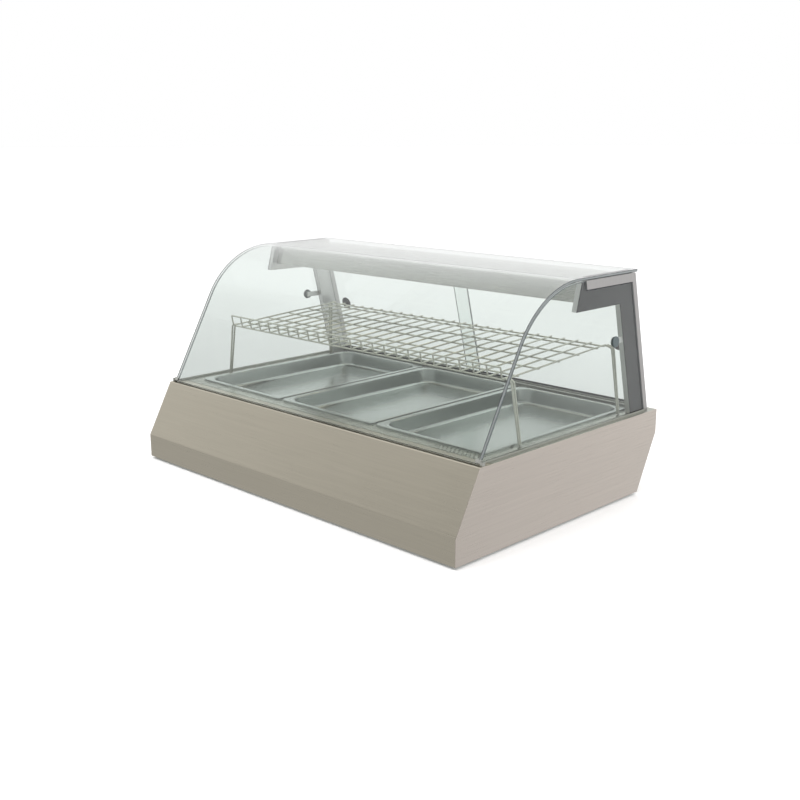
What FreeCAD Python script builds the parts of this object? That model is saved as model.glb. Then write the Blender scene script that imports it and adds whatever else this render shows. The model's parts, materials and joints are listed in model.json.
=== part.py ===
"""Counter-top hot food display case: a heated stainless steel cabinet that holds three food pans,
a wire shelf above them, glass sides, one bent pane for the front and roof that tilts forward,
and two sliding glass doors for whoever serves behind it.

The sizes are written in the "frame" of the cabinet: x from its middle (+X is its right side seen
from the front), y from its front face backwards and z up from the surface that it stands on.
Every finished piece is placed so that the origin is under the middle of the whole object."""
import FreeCAD, Part
import os
import re

import Sketcher
from FreeCAD import Placement, Rotation, Vector

SIZES = [
    # the cabinet
    ("overall_width", 1100, "outside of one side panel to the outside of the other"),
    ("cabinet_depth", 723, "front kick to the rear face"),
    ("base_height", 193, "lower edge of the panels to the deck"),
    ("foot_gap", 6, "height of the feet"),
    ("kick_height", 59.5, "upright strip along the bottom of the front panel"),
    ("front_setback", 72.5, "how far the sloping front leans back"),
    ("rear_upright", 57, "upright strip of the rear panel that holds the controls"),
    ("rear_undercut", 70, "how far the rear panel slopes forward below that strip"),
    ("sheet", 1.5, "stainless steel sheet"),
    ("seam", 0.3, "gap between neighbouring sheets"),
    ("ledge_depth", 37.5, "flat ledge folded back from the top of the front panel"),
    ("flange", 15, "folded stiffening flange"),
    # pans, deck and the heated well
    ("pan_width", 325, "GN 1/1 pan, outside of the rim"),
    ("pan_length", 530, "GN 1/1 pan, outside of the rim"),
    ("pan_depth", 40, "GN 1/1 pan, below the rim"),
    ("pan_gap", 9.6, "between the rims of neighbouring pans"),
    ("pan_front", 143, "front of the pan rims"),
    ("pan_wall", 1, "sheet of the pans"),
    ("pan_rim", 11, "width of the flat rim"),
    ("pan_lip", 3.5, "edge of the rim, turned down to the deck"),
    ("pan_corner", 42, "corner radius of the pan's basin"),
    ("rim_corner", 12, "corner radius of the pan's rim"),
    ("pan_draft", 7, "degrees that the pan's walls lean"),
    ("rim_seat", 9, "overlap of the rims on the deck"),
    ("bar_width", 24, "bar under two neighbouring rims"),
    ("bar_height", 11, "bar under two neighbouring rims"),
    ("well_floor", 118, "height of the underside of the heated well"),
    ("well_margin", 8, "how far the well is wider than the opening in the deck"),
    ("well_wall", 1.2, "sheet of the well"),
    ("mat_thickness", 20, "insulating mat under the well"),
    ("heater_radius", 4, "tubular heating element"),
    ("heater_height", 138, "centre of the heating elements"),
    ("heater_pitch", 64, "between the runs of a heating element"),
    ("vent_radius", 2.1, "perforations in the deck"),
    ("vent_pitch", 11, "between perforations"),
    ("vent_row", 8.5, "between the rows of perforations"),
    ("vent_columns", 12, "perforations along one row"),
    ("vent_edge", 46, "side panel to the nearest of the front perforations"),
    ("vent_front", 114, "first row of the front perforations"),
    ("side_vent_y", 234, "first row of the side perforations"),
    ("side_vent_rows", 6, "rows in one group of side perforations"),
    ("side_vent_step", 110, "between the groups of side perforations"),
    ("side_vent_inset", 6, "feet of the shelf to the side perforations"),
    ("fan_size", 92, "square frame of a circulating fan"),
    ("fan_depth", 25, "frame of a circulating fan"),
    ("fan_bore", 43, "radius of the fan's opening"),
    ("fan_x", 167.3, "fans to the left and right of the middle"),
    ("fan_y", 405, "centre of the fans"),
    ("fan_axle", 2, "radius of the fan's axle"),
    ("running_gap", 0.05, "radial clearance of a shaft in its hole"),
    # glass
    ("glass_inset", 13.5, "side panel to the edge of the bent pane"),
    ("glass_thickness", 6, "bent pane and side panes"),
    ("glass_foot_y", 78, "outer face of the bent pane at the level of the deck"),
    ("glass_lean", 61, "degrees from level of the straight front of the bent pane"),
    ("glass_radius", 233, "outside radius of the bend"),
    ("roof_top", 544.5, "top of the bent pane"),
    ("roof_rear", 629.5, "rear edge of the bent pane"),
    ("side_gap", 3, "bent pane to the edge of a side pane"),
    ("roof_clearance", 3, "bent pane to the metal below it"),
    ("clamp_cheek", 0.8, "sheet on each side of the pane in the corner shoes"),
    ("clamp_height", 6, "height of a corner shoe above its pin"),
    ("clamp_width", 14, "width of a corner shoe"),
    ("clamp_end", 4.5, "solid end of a corner shoe, which turns on the pin"),
    ("pane_below", 4, "bent pane below its pins"),
    ("pin_radius", 2.5, "pins that the bent pane tilts on"),
    ("seat_wall", 2, "channel under a side pane"),
    ("seat_height", 4.5, "channel under a side pane"),
    # frames and brackets
    ("frame_width", 21, "frame and bracket together, side to side"),
    ("frame_foot", 703, "rear of the frame's post on the deck"),
    ("door_lean", 13.4, "degrees that the posts and doors lean forward"),
    ("post_width", 15.5, "frame's post, front to back"),
    ("bar_front", 431, "front end of the frame's bar at its top"),
    ("bar_thickness", 20.5, "frame's bar, top to bottom"),
    ("bracket_front", 404, "lower front corner of the bracket's arm"),
    ("bracket_low", 470, "underside of the bracket's arm"),
    ("bracket_tilt", 17, "how far the arm's front end leans back"),
    ("bracket_post", 53, "bracket's post, front to back"),
    ("cover_thickness", 2.2, "dark cover on the bracket"),
    ("fixing_y", 552, "centre of the side pane's round fixing"),
    ("fixing_z", 386, "centre of the side pane's round fixing"),
    ("fixing_radius", 13, "round head of the side pane's fixing"),
    ("fixing_ear", 7, "half the width of the bracket's ear behind the fixing"),
    # lamp canopy
    ("canopy_front", 424, "lower front edge of the canopy"),
    ("canopy_low", 487, "underside of the canopy"),
    ("canopy_top", 534.5, "top of the canopy"),
    ("canopy_tilt", 13.5, "how far the canopy's front leans back"),
    ("canopy_rear", 590, "rear of the canopy"),
    ("lamp_radius", 13, "lamp tube"),
    ("lamp_length", 895, "lamp tube"),
    ("lamp_y", 510, "centre of the lamp tube"),
    ("lamp_z", 512, "centre of the lamp tube"),
    # doors, written along the leaning plane of the posts
    ("rail_wall", 2, "walls of the door rails"),
    ("rail_groove", 9, "grooves of the door rails"),
    ("rail_floor", 9.5, "floor of the lower rail above the foot of the posts"),
    ("rail_lip", 6, "depth of the lower rail's grooves"),
    ("top_rail_base", 335, "roof of the upper rail above the foot of the posts"),
    ("top_rail_depth", 13, "depth of the upper rail's grooves"),
    ("door_glass", 5, "door panes"),
    ("door_overlap", 55, "overlap of the closed doors"),
    ("door_headroom", 5, "space over a door, so that it lifts out"),
    ("runner_width", 7, "plastic runner along the foot of a door"),
    ("runner_height", 8, "plastic runner along the foot of a door"),
    ("pull_height", 165, "finger pulls above the foot of the posts"),
    ("pull_inset", 45, "finger pull to the outer edge of its door"),
    ("pull_radius", 17, "finger pulls"),
    # wire shelf
    ("shelf_half", 470, "middle of the shelf to its outer wires"),
    ("shelf_front", 236, "front of the shelf"),
    ("shelf_depth", 373, "front to rear of the shelf"),
    ("shelf_height", 340.5, "level of the wires at the front"),
    ("shelf_slope", 3.47, "degrees that the shelf rises to the rear"),
    ("wire_radius", 2, "wires of the shelf"),
    ("wire_bays", 24, "bays across the shelf"),
    ("cross_first", 47, "front of the shelf to the second cross wire"),
    ("cross_pitch", 73.3, "between cross wires"),
    ("weld", 0.8, "how far crossing wires sink into each other"),
    ("guard_height", 27, "guard wire above the front of the shelf"),
    ("guard_lean", 12, "degrees that the guard leans forward"),
    ("leg_foot_x", 507.5, "feet of the shelf from the middle"),
    ("leg_front_foot", 246, "foot of the front legs, along the depth"),
    ("leg_front_top", 245, "top of the front legs, along the depth"),
    ("leg_rear_foot", 615, "foot of the rear legs, along the depth"),
    ("leg_rear_inset", 4, "rear edge of the shelf to the top of the rear legs"),
    ("leg_drop", 4, "bend at the top of a leg, below the shelf's own wires"),
    ("leg_bend", 8, "radius of the bends of the legs"),
    ("leg_front_x", 485, "top of the shelf's front legs from the middle"),
    ("leg_rear_x", 492, "top of the shelf's rear legs from the middle"),
    ("leg_wire", 2.3, "wire of the legs"),
    ("leg_spread", 4, "half the width of a leg at its top"),
    ("leg_toe", 2.6, "half the width of a leg at its foot"),
    # controls
    ("knob_x", 400, "thermostat knob from the middle"),
    ("knob_radius", 20, "thermostat knob"),
    ("knob_reach", 18, "thermostat knob, out from the rear panel"),
    ("shaft_radius", 3, "thermostat shaft"),
    ("switch_x", 300, "first switch from the middle"),
    ("switch_pitch", 40, "between the switches"),
    ("switch_width", 22, "switch body"),
    ("switch_tall", 30, "switch body"),
    ("switch_deep", 24, "switch body behind the panel"),
    ("rocker_gap", 0.5, "rocker to its switch"),
    ("pilot_x", 345, "pilot lamp from the middle"),
    ("pilot_radius", 6, "pilot lamp"),
    ("gland_x", -430, "cable gland from the middle"),
    ("gland_z", 76, "cable gland"),
    ("gland_radius", 10, "thread of the cable gland"),
    ("cord_radius", 4.5, "cord that the gland takes"),
    ("foot_radius", 20, "feet"),
    ("foot_inset", 70, "feet from the edges"),
    ("screw_radius", 4, "screw heads"),
]

# Places worked out from the sizes. A place may use any size and any place above it.
PLACES = {
    "top": "foot_gap + base_height",
    "half": "overall_width / 2",
    "inner": "half - sheet",
    "front_slope": "atan((base_height - kick_height) / front_setback) / 1 deg",
    "rear_slope": "atan(rear_undercut / (base_height - rear_upright)) / 1 deg",
    "origin_y": "(cabinet_depth + knob_reach) / 2",
    "ledge_end": "front_setback + ledge_depth",
    "opening_half": "1.5 * pan_width + pan_gap - rim_seat",
    "opening_front": "pan_front + rim_seat",
    "opening_rear": "pan_front + pan_length - rim_seat",
    "pan_pitch": "pan_width + pan_gap",
    "well_half": "opening_half + well_margin",
    "well_front": "opening_front - well_margin",
    "well_rear": "opening_rear + well_margin",
    "glass_half": "half - glass_inset",
    "glass_inner": "glass_half - glass_thickness",
    "knuckle": "glass_thickness / 2 + clamp_cheek",
    "pivot_z": "top + 1.5 + knuckle",
    "pivot_run": "(pivot_z - top + glass_thickness / 2 * cos(glass_lean)) / sin(glass_lean)",
    "pivot_y": "glass_foot_y + pivot_run * cos(glass_lean) + glass_thickness / 2 * sin(glass_lean)",
    "roof_corner": "glass_foot_y + (roof_top - top) / tan(glass_lean)",
    "metal_top": "roof_top - glass_thickness - roof_clearance",
    "seat_floor": "top + seat_wall",
    "frame_inner": "glass_half - frame_width",
    "frame_top": "metal_top + 1.5",
    "bar_low": "frame_top - bar_thickness",
    "bar_set": "bar_front + 4.5",
    "cover_outer": "glass_inner - seam",
    "bracket_outer": "cover_outer - cover_thickness",
    "bracket_foot": "frame_foot - post_width - bracket_post",
    "canopy_half": "frame_inner - seam",
    "rail_width": "3 * rail_wall + 2 * rail_groove",
    "front_track": "0 - rail_wall * 2 - rail_groove * 1.5",
    "rear_track": "0 - rail_wall - rail_groove / 2",
    "door_width": "canopy_half - seam + door_overlap / 2",
    "door_foot": "rail_floor + 2.4",
    "door_height": "top_rail_base - door_headroom - door_foot",
    "cross_low": "0 - 2 * wire_radius + weld",
    "strip_z": "top - rear_upright / 2",
}


def formula(text):
    """Writes an expression on the sheet's cells for a sum that names sizes and places."""
    sizes = {size[0] for size in SIZES}

    def expand(match):
        word = match.group()
        if word in PLACES:
            return "(" + formula(PLACES[word]) + ")"
        return "Sizes." + word if word in sizes else word

    return re.sub(r"[a-z][a-z_]*", expand, str(text))


def number(text):
    """The value of such a sum."""
    value = sheet.evalExpression(formula(text))
    return float(getattr(value, "Value", value))


def bind(thing, **properties):
    """Binds properties to sums; a double underscore in a name stands for a dot."""
    for name, text in properties.items():
        thing.setExpression(name.replace("__", "."), formula(text))
    return thing


def place(thing, x=0, y="origin_y", z=0, axis=None, angle=0):
    """Places an object in the cabinet's frame, turned by an angle about an axis if one is given."""
    if axis:
        thing.Placement = Placement(Vector(), Rotation(Vector(*axis), number(angle)))
        bind(thing, Placement__Rotation__Angle=angle)
    return bind(thing, Placement__Base__x=x, Placement__Base__y=f"{y} - origin_y", Placement__Base__z=z)


def box(name, low, high):
    """A box between two corners."""
    thing = doc.addObject("Part::Box", name)
    bind(thing, Length=f"({high[0]}) - ({low[0]})", Width=f"({high[1]}) - ({low[1]})")
    bind(thing, Height=f"({high[2]}) - ({low[2]})")
    return place(thing, low[0], low[1], low[2])


def cylinder(name, start, radius, length, along="z"):
    """A cylinder that runs from its start along +x, +y or +z."""
    thing = doc.addObject("Part::Cylinder", name)
    bind(thing, Radius=radius, Height=length)
    turns = {"x": ((0, 1, 0), 90), "y": ((1, 0, 0), -90), "z": (None, 0)}
    return place(thing, *start, *turns[along])


def leaning(w, u):
    """The y and z of a point w behind and u above the foot of the posts, along their lean."""
    y = f"frame_foot + ({w}) * cos(door_lean) - ({u}) * sin(door_lean)"
    z = f"top + ({w}) * sin(door_lean) + ({u}) * cos(door_lean)"
    return y, z


def leaning_box(name, low, high):
    """A box whose y and z run behind and above the foot of the posts, along their lean."""
    thing = doc.addObject("Part::Box", name)
    bind(thing, Length=f"({high[0]}) - ({low[0]})", Width=f"({high[1]}) - ({low[1]})")
    bind(thing, Height=f"({high[2]}) - ({low[2]})")
    return place(thing, low[0], *leaning(low[1], low[2]), (1, 0, 0), "door_lean")


def leaning_cylinder(name, x, w, u, radius, length):
    """A cylinder that points straight back out of the leaning plane of the doors."""
    thing = doc.addObject("Part::Cylinder", name)
    bind(thing, Radius=radius, Height=length)
    return place(thing, x, *leaning(w, u), (1, 0, 0), "door_lean - 90")


def join(name, things):
    fused = doc.addObject("Part::MultiFuse", name)
    fused.Shapes = things
    return fused


def cut(name, base, tools):
    """Takes one or more tools out of a base."""
    result = doc.addObject("Part::Cut", name)
    result.Base = base
    result.Tool = tools[0] if len(tools) == 1 else join(name + "Tools", tools)
    return result


def group(name, things):
    """Separate solids that share one node."""
    compound = doc.addObject("Part::Compound", name)
    compound.Links = things
    return compound


def mirrored(name, source):
    """The same piece on the other side of the cabinet."""
    mirror = doc.addObject("Part::Mirroring", name)
    mirror.Source = source
    mirror.Base = Vector(0, 0, 0)
    mirror.Normal = Vector(1, 0, 0)
    return mirror


nodes = {}


def node(label, thing):
    """Names a finished piece."""
    thing.Label = label
    nodes[label] = thing
    return thing


def body(name, **where):
    made = doc.addObject("PartDesign::Body", name)
    return place(made, **where)


def sketch(owner, plane, offset=0):
    """A sketch on one of a body's own planes, moved along the plane's normal."""
    made = owner.newObject("Sketcher::SketchObject", owner.Name + "Sketch")
    support = next(f for f in owner.Origin.OriginFeatures if f.Role == plane)
    made.AttachmentSupport = [(support, "")]
    made.MapMode = "FlatFace"
    return bind(made, AttachmentOffset__Base__z=offset)


def hold(drawing, geometry, point, place_at):
    """Holds a point of a sketch at a place, measured from the sketch's origin."""
    for kind, text in zip(("DistanceX", "DistanceY"), place_at):
        row = drawing.addConstraint(Sketcher.Constraint(kind, -1, 1, geometry, point, number(text)))
        drawing.setExpression(f"Constraints[{row}]", formula(text))


def outline(drawing, corners):
    """Draws a closed outline. A corner is (across, up) or, where it is rounded, (across, up, radius)."""
    spots = [Vector(number(c[0]), number(c[1]), 0) for c in corners]
    starts, ends = [], []
    for i, corner in enumerate(corners):
        before = (spots[i - 1] - spots[i]).normalize()
        after = (spots[(i + 1) % len(spots)] - spots[i]).normalize()
        setback = 0
        if len(corner) == 3:
            half_angle = before.getAngle(after) / 2
            setback = number(corner[2]) * number(f"1 / tan({half_angle} rad)")
        ends.append(spots[i] + before * setback)
        starts.append(spots[i] + after * setback)
    lines = []
    for i in range(len(corners)):
        segment = Part.LineSegment(starts[i], ends[(i + 1) % len(corners)])
        lines.append(drawing.addGeometry(segment, False))
    for i, corner in enumerate(corners):
        last, following = lines[i - 1], lines[i]
        if len(corner) == 2:
            drawing.addConstraint(Sketcher.Constraint("Coincident", last, 2, following, 1))
            hold(drawing, following, 1, corner)
            continue
        radius = number(corner[2])
        bisector = ((ends[i] + starts[i]) * 0.5 - spots[i]).normalize()
        reach = ((ends[i] - spots[i]).Length ** 2 + radius ** 2) ** 0.5
        middle = spots[i] + bisector * (reach - radius)
        left_turn = (ends[i] - spots[i]).cross(starts[i] - spots[i]).z < 0
        first, last_point = (ends[i], starts[i]) if left_turn else (starts[i], ends[i])
        bend = drawing.addGeometry(Part.Arc(first, middle, last_point), False)
        meets = (1, 2) if left_turn else (2, 1)
        drawing.addConstraint(Sketcher.Constraint("Tangent", last, 2, bend, meets[0]))
        drawing.addConstraint(Sketcher.Constraint("Tangent", following, 1, bend, meets[1]))
        row = drawing.addConstraint(Sketcher.Constraint("Radius", bend, radius))
        drawing.setExpression(f"Constraints[{row}]", formula(corner[2]))
        apex = drawing.addGeometry(Part.Point(spots[i]), True)
        hold(drawing, apex, 1, corner)
        drawing.addConstraint(Sketcher.Constraint("PointOnObject", apex, 1, last))
        drawing.addConstraint(Sketcher.Constraint("PointOnObject", apex, 1, following))
    return drawing


def circle(drawing, centre, radius):
    round_edge = Part.Circle(Vector(number(centre[0]), number(centre[1]), 0), Vector(0, 0, 1), 1)
    made = drawing.addGeometry(round_edge, False)
    hold(drawing, made, 3, centre)
    row = drawing.addConstraint(Sketcher.Constraint("Radius", made, number(radius)))
    drawing.setExpression(f"Constraints[{row}]", formula(radius))
    return drawing


def rectangle(drawing, low, high, radius=None):
    ends = [(low[0], low[1]), (high[0], low[1]), (high[0], high[1]), (low[0], high[1])]
    return outline(drawing, [end + (radius,) for end in ends] if radius else ends)


def pad(owner, drawing, length, draft=None):
    """Raises a sketch along its plane's normal."""
    made = owner.newObject("PartDesign::Pad", owner.Name + "Pad")
    made.Profile = drawing
    bind(made, Length=length)
    if draft:
        bind(made, TaperAngle=draft)
    return made


def pocket(owner, drawing, length, draft=None):
    """Cuts a sketch along its plane's normal."""
    made = owner.newObject("PartDesign::Pocket", owner.Name + "Pocket")
    made.Profile = drawing
    made.Reversed = True
    bind(made, Length=length)
    if draft:
        bind(made, TaperAngle=draft)
    return made


def repeat(owner, feature, role, spacing, count):
    """Repeats a feature along one of its body's own axes."""
    made = owner.newObject("PartDesign::LinearPattern", owner.Name + "Pattern")
    made.Originals = [feature]
    made.Direction = (next(f for f in owner.Origin.OriginFeatures if f.Role == role), [""])
    made.Mode = "Spacing"
    bind(made, Offset=spacing, Occurrences=count)
    owner.Tip = made
    return made


def hollow(owner, feature, wall, openings):
    """Leaves a wall of sheet and opens the faces whose outward normals are given."""
    doc.recompute()
    faces = []
    for i, face in enumerate(feature.Shape.Faces, 1):
        middle = [sum(r) / 2 for r in (face.ParameterRange[:2], face.ParameterRange[2:])]
        if any((face.normalAt(*middle) - Vector(*way)).Length < 0.01 for way in openings):
            faces.append(f"Face{i}")
    made = owner.newObject("PartDesign::Thickness", owner.Name + "Shell")
    made.Base = (feature, faces)
    made.Reversed = True
    made.Join = "Intersection"
    bind(made, Value=wall)
    owner.Tip = made
    return made


def extrusion(name, corners, low, high):
    """An outline in y and z, run between two values of x."""
    made = body(name, y="0")
    pad(made, outline(sketch(made, "YZ_Plane", low), corners), f"({high}) - ({low})")
    return made


def bent_wire(name, points, bend, radius):
    """A round wire along straight runs with rounded bends, given in the cabinet's frame."""
    spots = [Vector(number(p[0]), number(p[1]) - number("origin_y"), number(p[2])) for p in points]
    edges = []
    start = spots[0]
    for before, corner, after in zip(spots, spots[1:], spots[2:]):
        back = (before - corner).normalize()
        onward = (after - corner).normalize()
        half_angle = back.getAngle(onward) / 2
        setback = number(f"({bend}) / tan({half_angle} rad)")
        room = 0.48 * min((before - corner).Length, (after - corner).Length)
        setback = min(setback, room)
        round_radius = setback * number(f"tan({half_angle} rad)")
        enter, leave = corner + back * setback, corner + onward * setback
        reach = (setback ** 2 + round_radius ** 2) ** 0.5
        middle = corner + (back + onward).normalize() * (reach - round_radius)
        edges += [Part.makeLine(start, enter), Part.Arc(enter, middle, leave).toShape()]
        start = leave
    edges.append(Part.makeLine(start, spots[-1]))
    section = Part.Wire(Part.Circle(spots[0], spots[1] - spots[0], number(radius)).toShape())
    thing = doc.addObject("Part::Feature", name)
    thing.Shape = Part.Wire(edges).makePipeShell([section], True, False)
    return thing


def cabinet():
    """Sheet metal of the base, with the deck in four strips around the opening for the pans."""
    front = extrusion("FrontPanel", [
        ("0", "foot_gap"),
        ("0", "foot_gap + kick_height"),
        ("front_setback", "top"),
        ("ledge_end", "top"),
        ("ledge_end", "top - flange"),
        ("ledge_end - sheet", "top - flange"),
        ("ledge_end - sheet", "top - sheet"),
        ("front_setback + sheet * tan(front_slope / 2)", "top - sheet"),
        ("sheet", "foot_gap + kick_height - sheet * tan((90 - front_slope) / 2)"),
        ("sheet", "foot_gap"),
    ], "0 - inner", "inner")
    node("front_panel", front)

    hexagon = [
        ("0", "foot_gap"),
        ("0", "foot_gap + kick_height"),
        ("front_setback", "top"),
        ("cabinet_depth", "top"),
        ("cabinet_depth", "top - rear_upright"),
        ("cabinet_depth - rear_undercut", "foot_gap"),
    ]
    right = node("side_panel_right", extrusion("SidePanelRight", hexagon, "inner", "half"))
    node("side_panel_left", mirrored("SidePanelLeft", right))

    rear = extrusion("RearPanelSheet", [
        ("cabinet_depth", "top"),
        ("cabinet_depth", "top - rear_upright"),
        ("cabinet_depth - rear_undercut", "foot_gap"),
        ("cabinet_depth - rear_undercut - sheet / cos(rear_slope)", "foot_gap"),
        ("cabinet_depth - sheet", "top - rear_upright + sheet * tan(rear_slope / 2)"),
        ("cabinet_depth - sheet", "top"),
    ], "0 - inner", "inner")
    holes = [
        cylinder("KnobHole", ("knob_x", "cabinet_depth - 5", "strip_z"), "shaft_radius + 2", "10", "y"),
        cylinder("PilotHole", ("pilot_x", "cabinet_depth - 5", "strip_z"), "pilot_radius", "10", "y"),
        gland_cylinder("GlandHole", "-5", "gland_radius", "10"),
    ]
    for i in range(2):
        middle = f"switch_x - {i} * switch_pitch"
        holes.append(box(f"SwitchHole{i}",
                         (f"{middle} - switch_width / 2", "cabinet_depth - 5", "strip_z - switch_tall / 2"),
                         (f"{middle} + switch_width / 2", "cabinet_depth + 5", "strip_z + switch_tall / 2")))
    slot_length, slot_height, slot_pitch = 70, 5, 14
    for column in range(-1, 3):
        for row in range(5):
            x = f"{column * 110} - {slot_length / 2}"
            z = f"foot_gap + 32 + {row * slot_pitch}"
            holes.append(box(f"Louvre{column + 1}{row}", (x, "cabinet_depth - 80", z),
                             (f"{x} + {slot_length}", "cabinet_depth + 5", f"{z} + {slot_height}")))
    node("rear_panel", cut("RearPanel", rear, holes))

    floor_rear = "cabinet_depth - rear_undercut - sheet / cos(rear_slope)"
    floor = box("FloorSheet", ("0 - inner", "sheet", "foot_gap"),
                ("inner", floor_rear, "foot_gap + sheet"))
    slots = []
    for side in (-1, 1):
        for row in range(5):
            x = f"{side} * fan_x - 40"
            y = f"fan_y - 40 + {row} * 18"
            slots.append(box(f"FloorSlot{side + 1}{row}", (x, y, "foot_gap - 1"),
                             (f"{x} + 80", f"{y} + 8", "foot_gap + sheet + 1")))
    for spot, (x, y) in foot_places().items():
        slots.append(cylinder("FootHole" + spot, (x, y, "foot_gap - 1"), "screw_radius", "sheet + 2"))
    node("floor_panel", cut("FloorPanel", floor, slots))


def gland_cylinder(name, start, radius, length):
    """A cylinder square to the sloping part of the rear panel, from start behind its face."""
    drop = "(top - rear_upright - gland_z)"
    face_y = f"cabinet_depth - {drop} * tan(rear_slope)"
    thing = doc.addObject("Part::Cylinder", name)
    bind(thing, Radius=radius, Height=length)
    y = f"{face_y} + ({start}) * cos(rear_slope)"
    return place(thing, "gland_x", y, f"gland_z - ({start}) * sin(rear_slope)",
                 (1, 0, 0), "0 - 90 - rear_slope")


def foot_places():
    x = "(half - foot_inset)"
    rear = "cabinet_depth - rear_undercut - foot_inset"
    return {
        "FrontLeft": (f"0 - {x}", "foot_inset"),
        "FrontRight": (x, "foot_inset"),
        "RearLeft": (f"0 - {x}", rear),
        "RearRight": (x, rear),
    }


def deck():
    """Four strips around the pans, perforated where warm air rises along the glass."""
    low, high = "top - sheet", "sheet"
    rear_edge = "cabinet_depth - sheet - seam"

    front = body("DeckFront", y="0")
    pad(front, rectangle(sketch(front, "XY_Plane", low), ("0 - inner", "ledge_end + seam"),
                         ("inner", "opening_front")), high)
    run = "(vent_columns - 0.5) * vent_pitch"
    far = f"(inner - vent_edge - {run} / 2)"
    for row in range(4):
        for middle in (f"0 - {far}", "0", far):
            centre = (f"{middle} - {run} / 2 + {row % 2} * vent_pitch / 2", f"vent_front + {row} * vent_row")
            hole = pocket(front, circle(sketch(front, "XY_Plane", low), centre, "vent_radius"), high)
            repeat(front, hole, "X_Axis", "vent_pitch", "vent_columns")
    node("deck_front", front)

    node("deck_rear", box("DeckRear", ("0 - inner", "opening_rear", low), ("inner", rear_edge, "top")))

    right = body("DeckRight", y="0")
    pad(right, rectangle(sketch(right, "XY_Plane", low), ("opening_half", "opening_front"),
                         ("inner", "opening_rear")), high)
    for column in range(2):
        for bank in range(3):
            centre = (f"leg_foot_x + side_vent_inset + {column} * vent_row",
                      f"side_vent_y + {column} * vent_pitch / 2 + {bank} * side_vent_step")
            hole = pocket(right, circle(sketch(right, "XY_Plane", low), centre, "vent_radius"), high)
            repeat(right, hole, "Y_Axis", "vent_pitch", "side_vent_rows")
    node("deck_right", right)
    node("deck_left", mirrored("DeckLeft", right))


def well():
    """The heated well under the pans, with what warms it and moves its air."""
    tub = body("WellTub", y="0")
    block = pad(tub, rectangle(sketch(tub, "XY_Plane", "well_floor"), ("0 - well_half", "well_front"),
                               ("well_half", "well_rear")), "top - sheet - well_floor")
    hollow(tub, block, "well_wall", [(0, 0, 1)])
    mat = box("InsulationBlock", ("6 - well_half", "well_front + 6", "well_floor - mat_thickness"),
              ("well_half - 6", "well_rear - 6", "well_floor"))
    openings, windows, frames = [], [], []
    half_fan = "fan_size / 2"
    for side in (-1, 1):
        x = f"{side} * fan_x"
        spot = (x, "fan_y", "well_floor - 1")
        openings.append(cylinder(f"WellHole{side + 1}", spot, "fan_bore", "well_wall + 2"))
        windows.append(box(f"MatWindow{side + 1}",
                           (f"{x} - {half_fan} - 1", f"fan_y - {half_fan} - 1", "well_floor - mat_thickness - 1"),
                           (f"{x} + {half_fan} + 1", f"fan_y + {half_fan} + 1", "well_floor + 1")))
        frames.append(fan_frame(side, x))
        node("fan_rotor_" + ("left" if side < 0 else "right"), fan_rotor(side, x))
    node("fan_frames", group("FanFrames", frames))
    node("insulation_mat", cut("InsulationMat", mat, windows))

    elements = []
    for i in range(3):
        middle = f"{i - 1} * pan_pitch"
        first = f"{middle} - 1.5 * heater_pitch"
        outside, near, turn = "well_rear + 18", "opening_front + 40", "opening_rear - 60"
        stops = [outside, near, near, turn, turn, near, near, outside]
        points = [(f"{first} + {n // 2} * heater_pitch", stop, "heater_height") for n, stop in enumerate(stops)]
        elements.append(bent_wire(f"Heater{i}", points, "heater_pitch / 2.1", "heater_radius"))
        for end in (0, 3):
            openings.append(cylinder(f"HeaterHole{i}{end}",
                                     (f"{first} + {end} * heater_pitch", "well_rear - 5", "heater_height"),
                                     "heater_radius", "10", "y"))
    node("heating_elements", group("HeatingElements", elements))
    node("well_tub", cut("Well", tub, openings))

    bars = []
    for side in (-1, 1):
        x = f"{side} * pan_pitch / 2"
        upper = box(f"BarUpper{side + 1}", (f"{x} - bar_width / 2", "opening_front", "top - bar_height"),
                    (f"{x} + bar_width / 2", "opening_rear", "top"))
        lower = box(f"BarLower{side + 1}",
                    (f"{x} - bar_width / 2", "well_front + well_wall", "top - bar_height"),
                    (f"{x} + bar_width / 2", "well_rear - well_wall", "top - sheet"))
        bars.append(join(f"PanBar{side + 1}", [upper, lower]))
    node("pan_bars", group("PanBars", bars))


def fan_frame(side, x):
    """A square frame with a round opening and three arms that carry the axle's bush."""
    low = "well_floor - fan_depth"
    block = box(f"FanBlock{side + 1}", (f"{x} - fan_size / 2", "fan_y - fan_size / 2", low),
                (f"{x} + fan_size / 2", "fan_y + fan_size / 2", "well_floor"))
    bore = cylinder(f"FanBore{side + 1}", (x, "fan_y", f"{low} - 1"), "fan_bore", "fan_depth + 2")
    ring = cut(f"FanRing{side + 1}", block, [bore])
    parts = [ring, cylinder(f"FanHub{side + 1}", (x, "fan_y", low), "17", "5")]
    arm_width = 7
    for arm in range(3):
        strut = doc.addObject("Part::Box", f"FanArm{side + 1}{arm}")
        bind(strut, Length="fan_bore + 1 - 8", Width=arm_width, Height="3")
        turn = 120 * arm + 30
        shift = f"(0 - {arm_width / 2})"
        place(strut, f"{x} + 8 * cos({turn}) - {shift} * sin({turn})",
              f"fan_y + 8 * sin({turn}) + {shift} * cos({turn})", low, (0, 0, 1), turn)
        parts.append(strut)
    carrier = join(f"FanCarrier{side + 1}", parts)
    bush = cylinder(f"FanBush{side + 1}", (x, "fan_y", f"{low} - 1"), "fan_axle + running_gap", "8")
    return cut(f"FanFrame{side + 1}", carrier, [bush])


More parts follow.
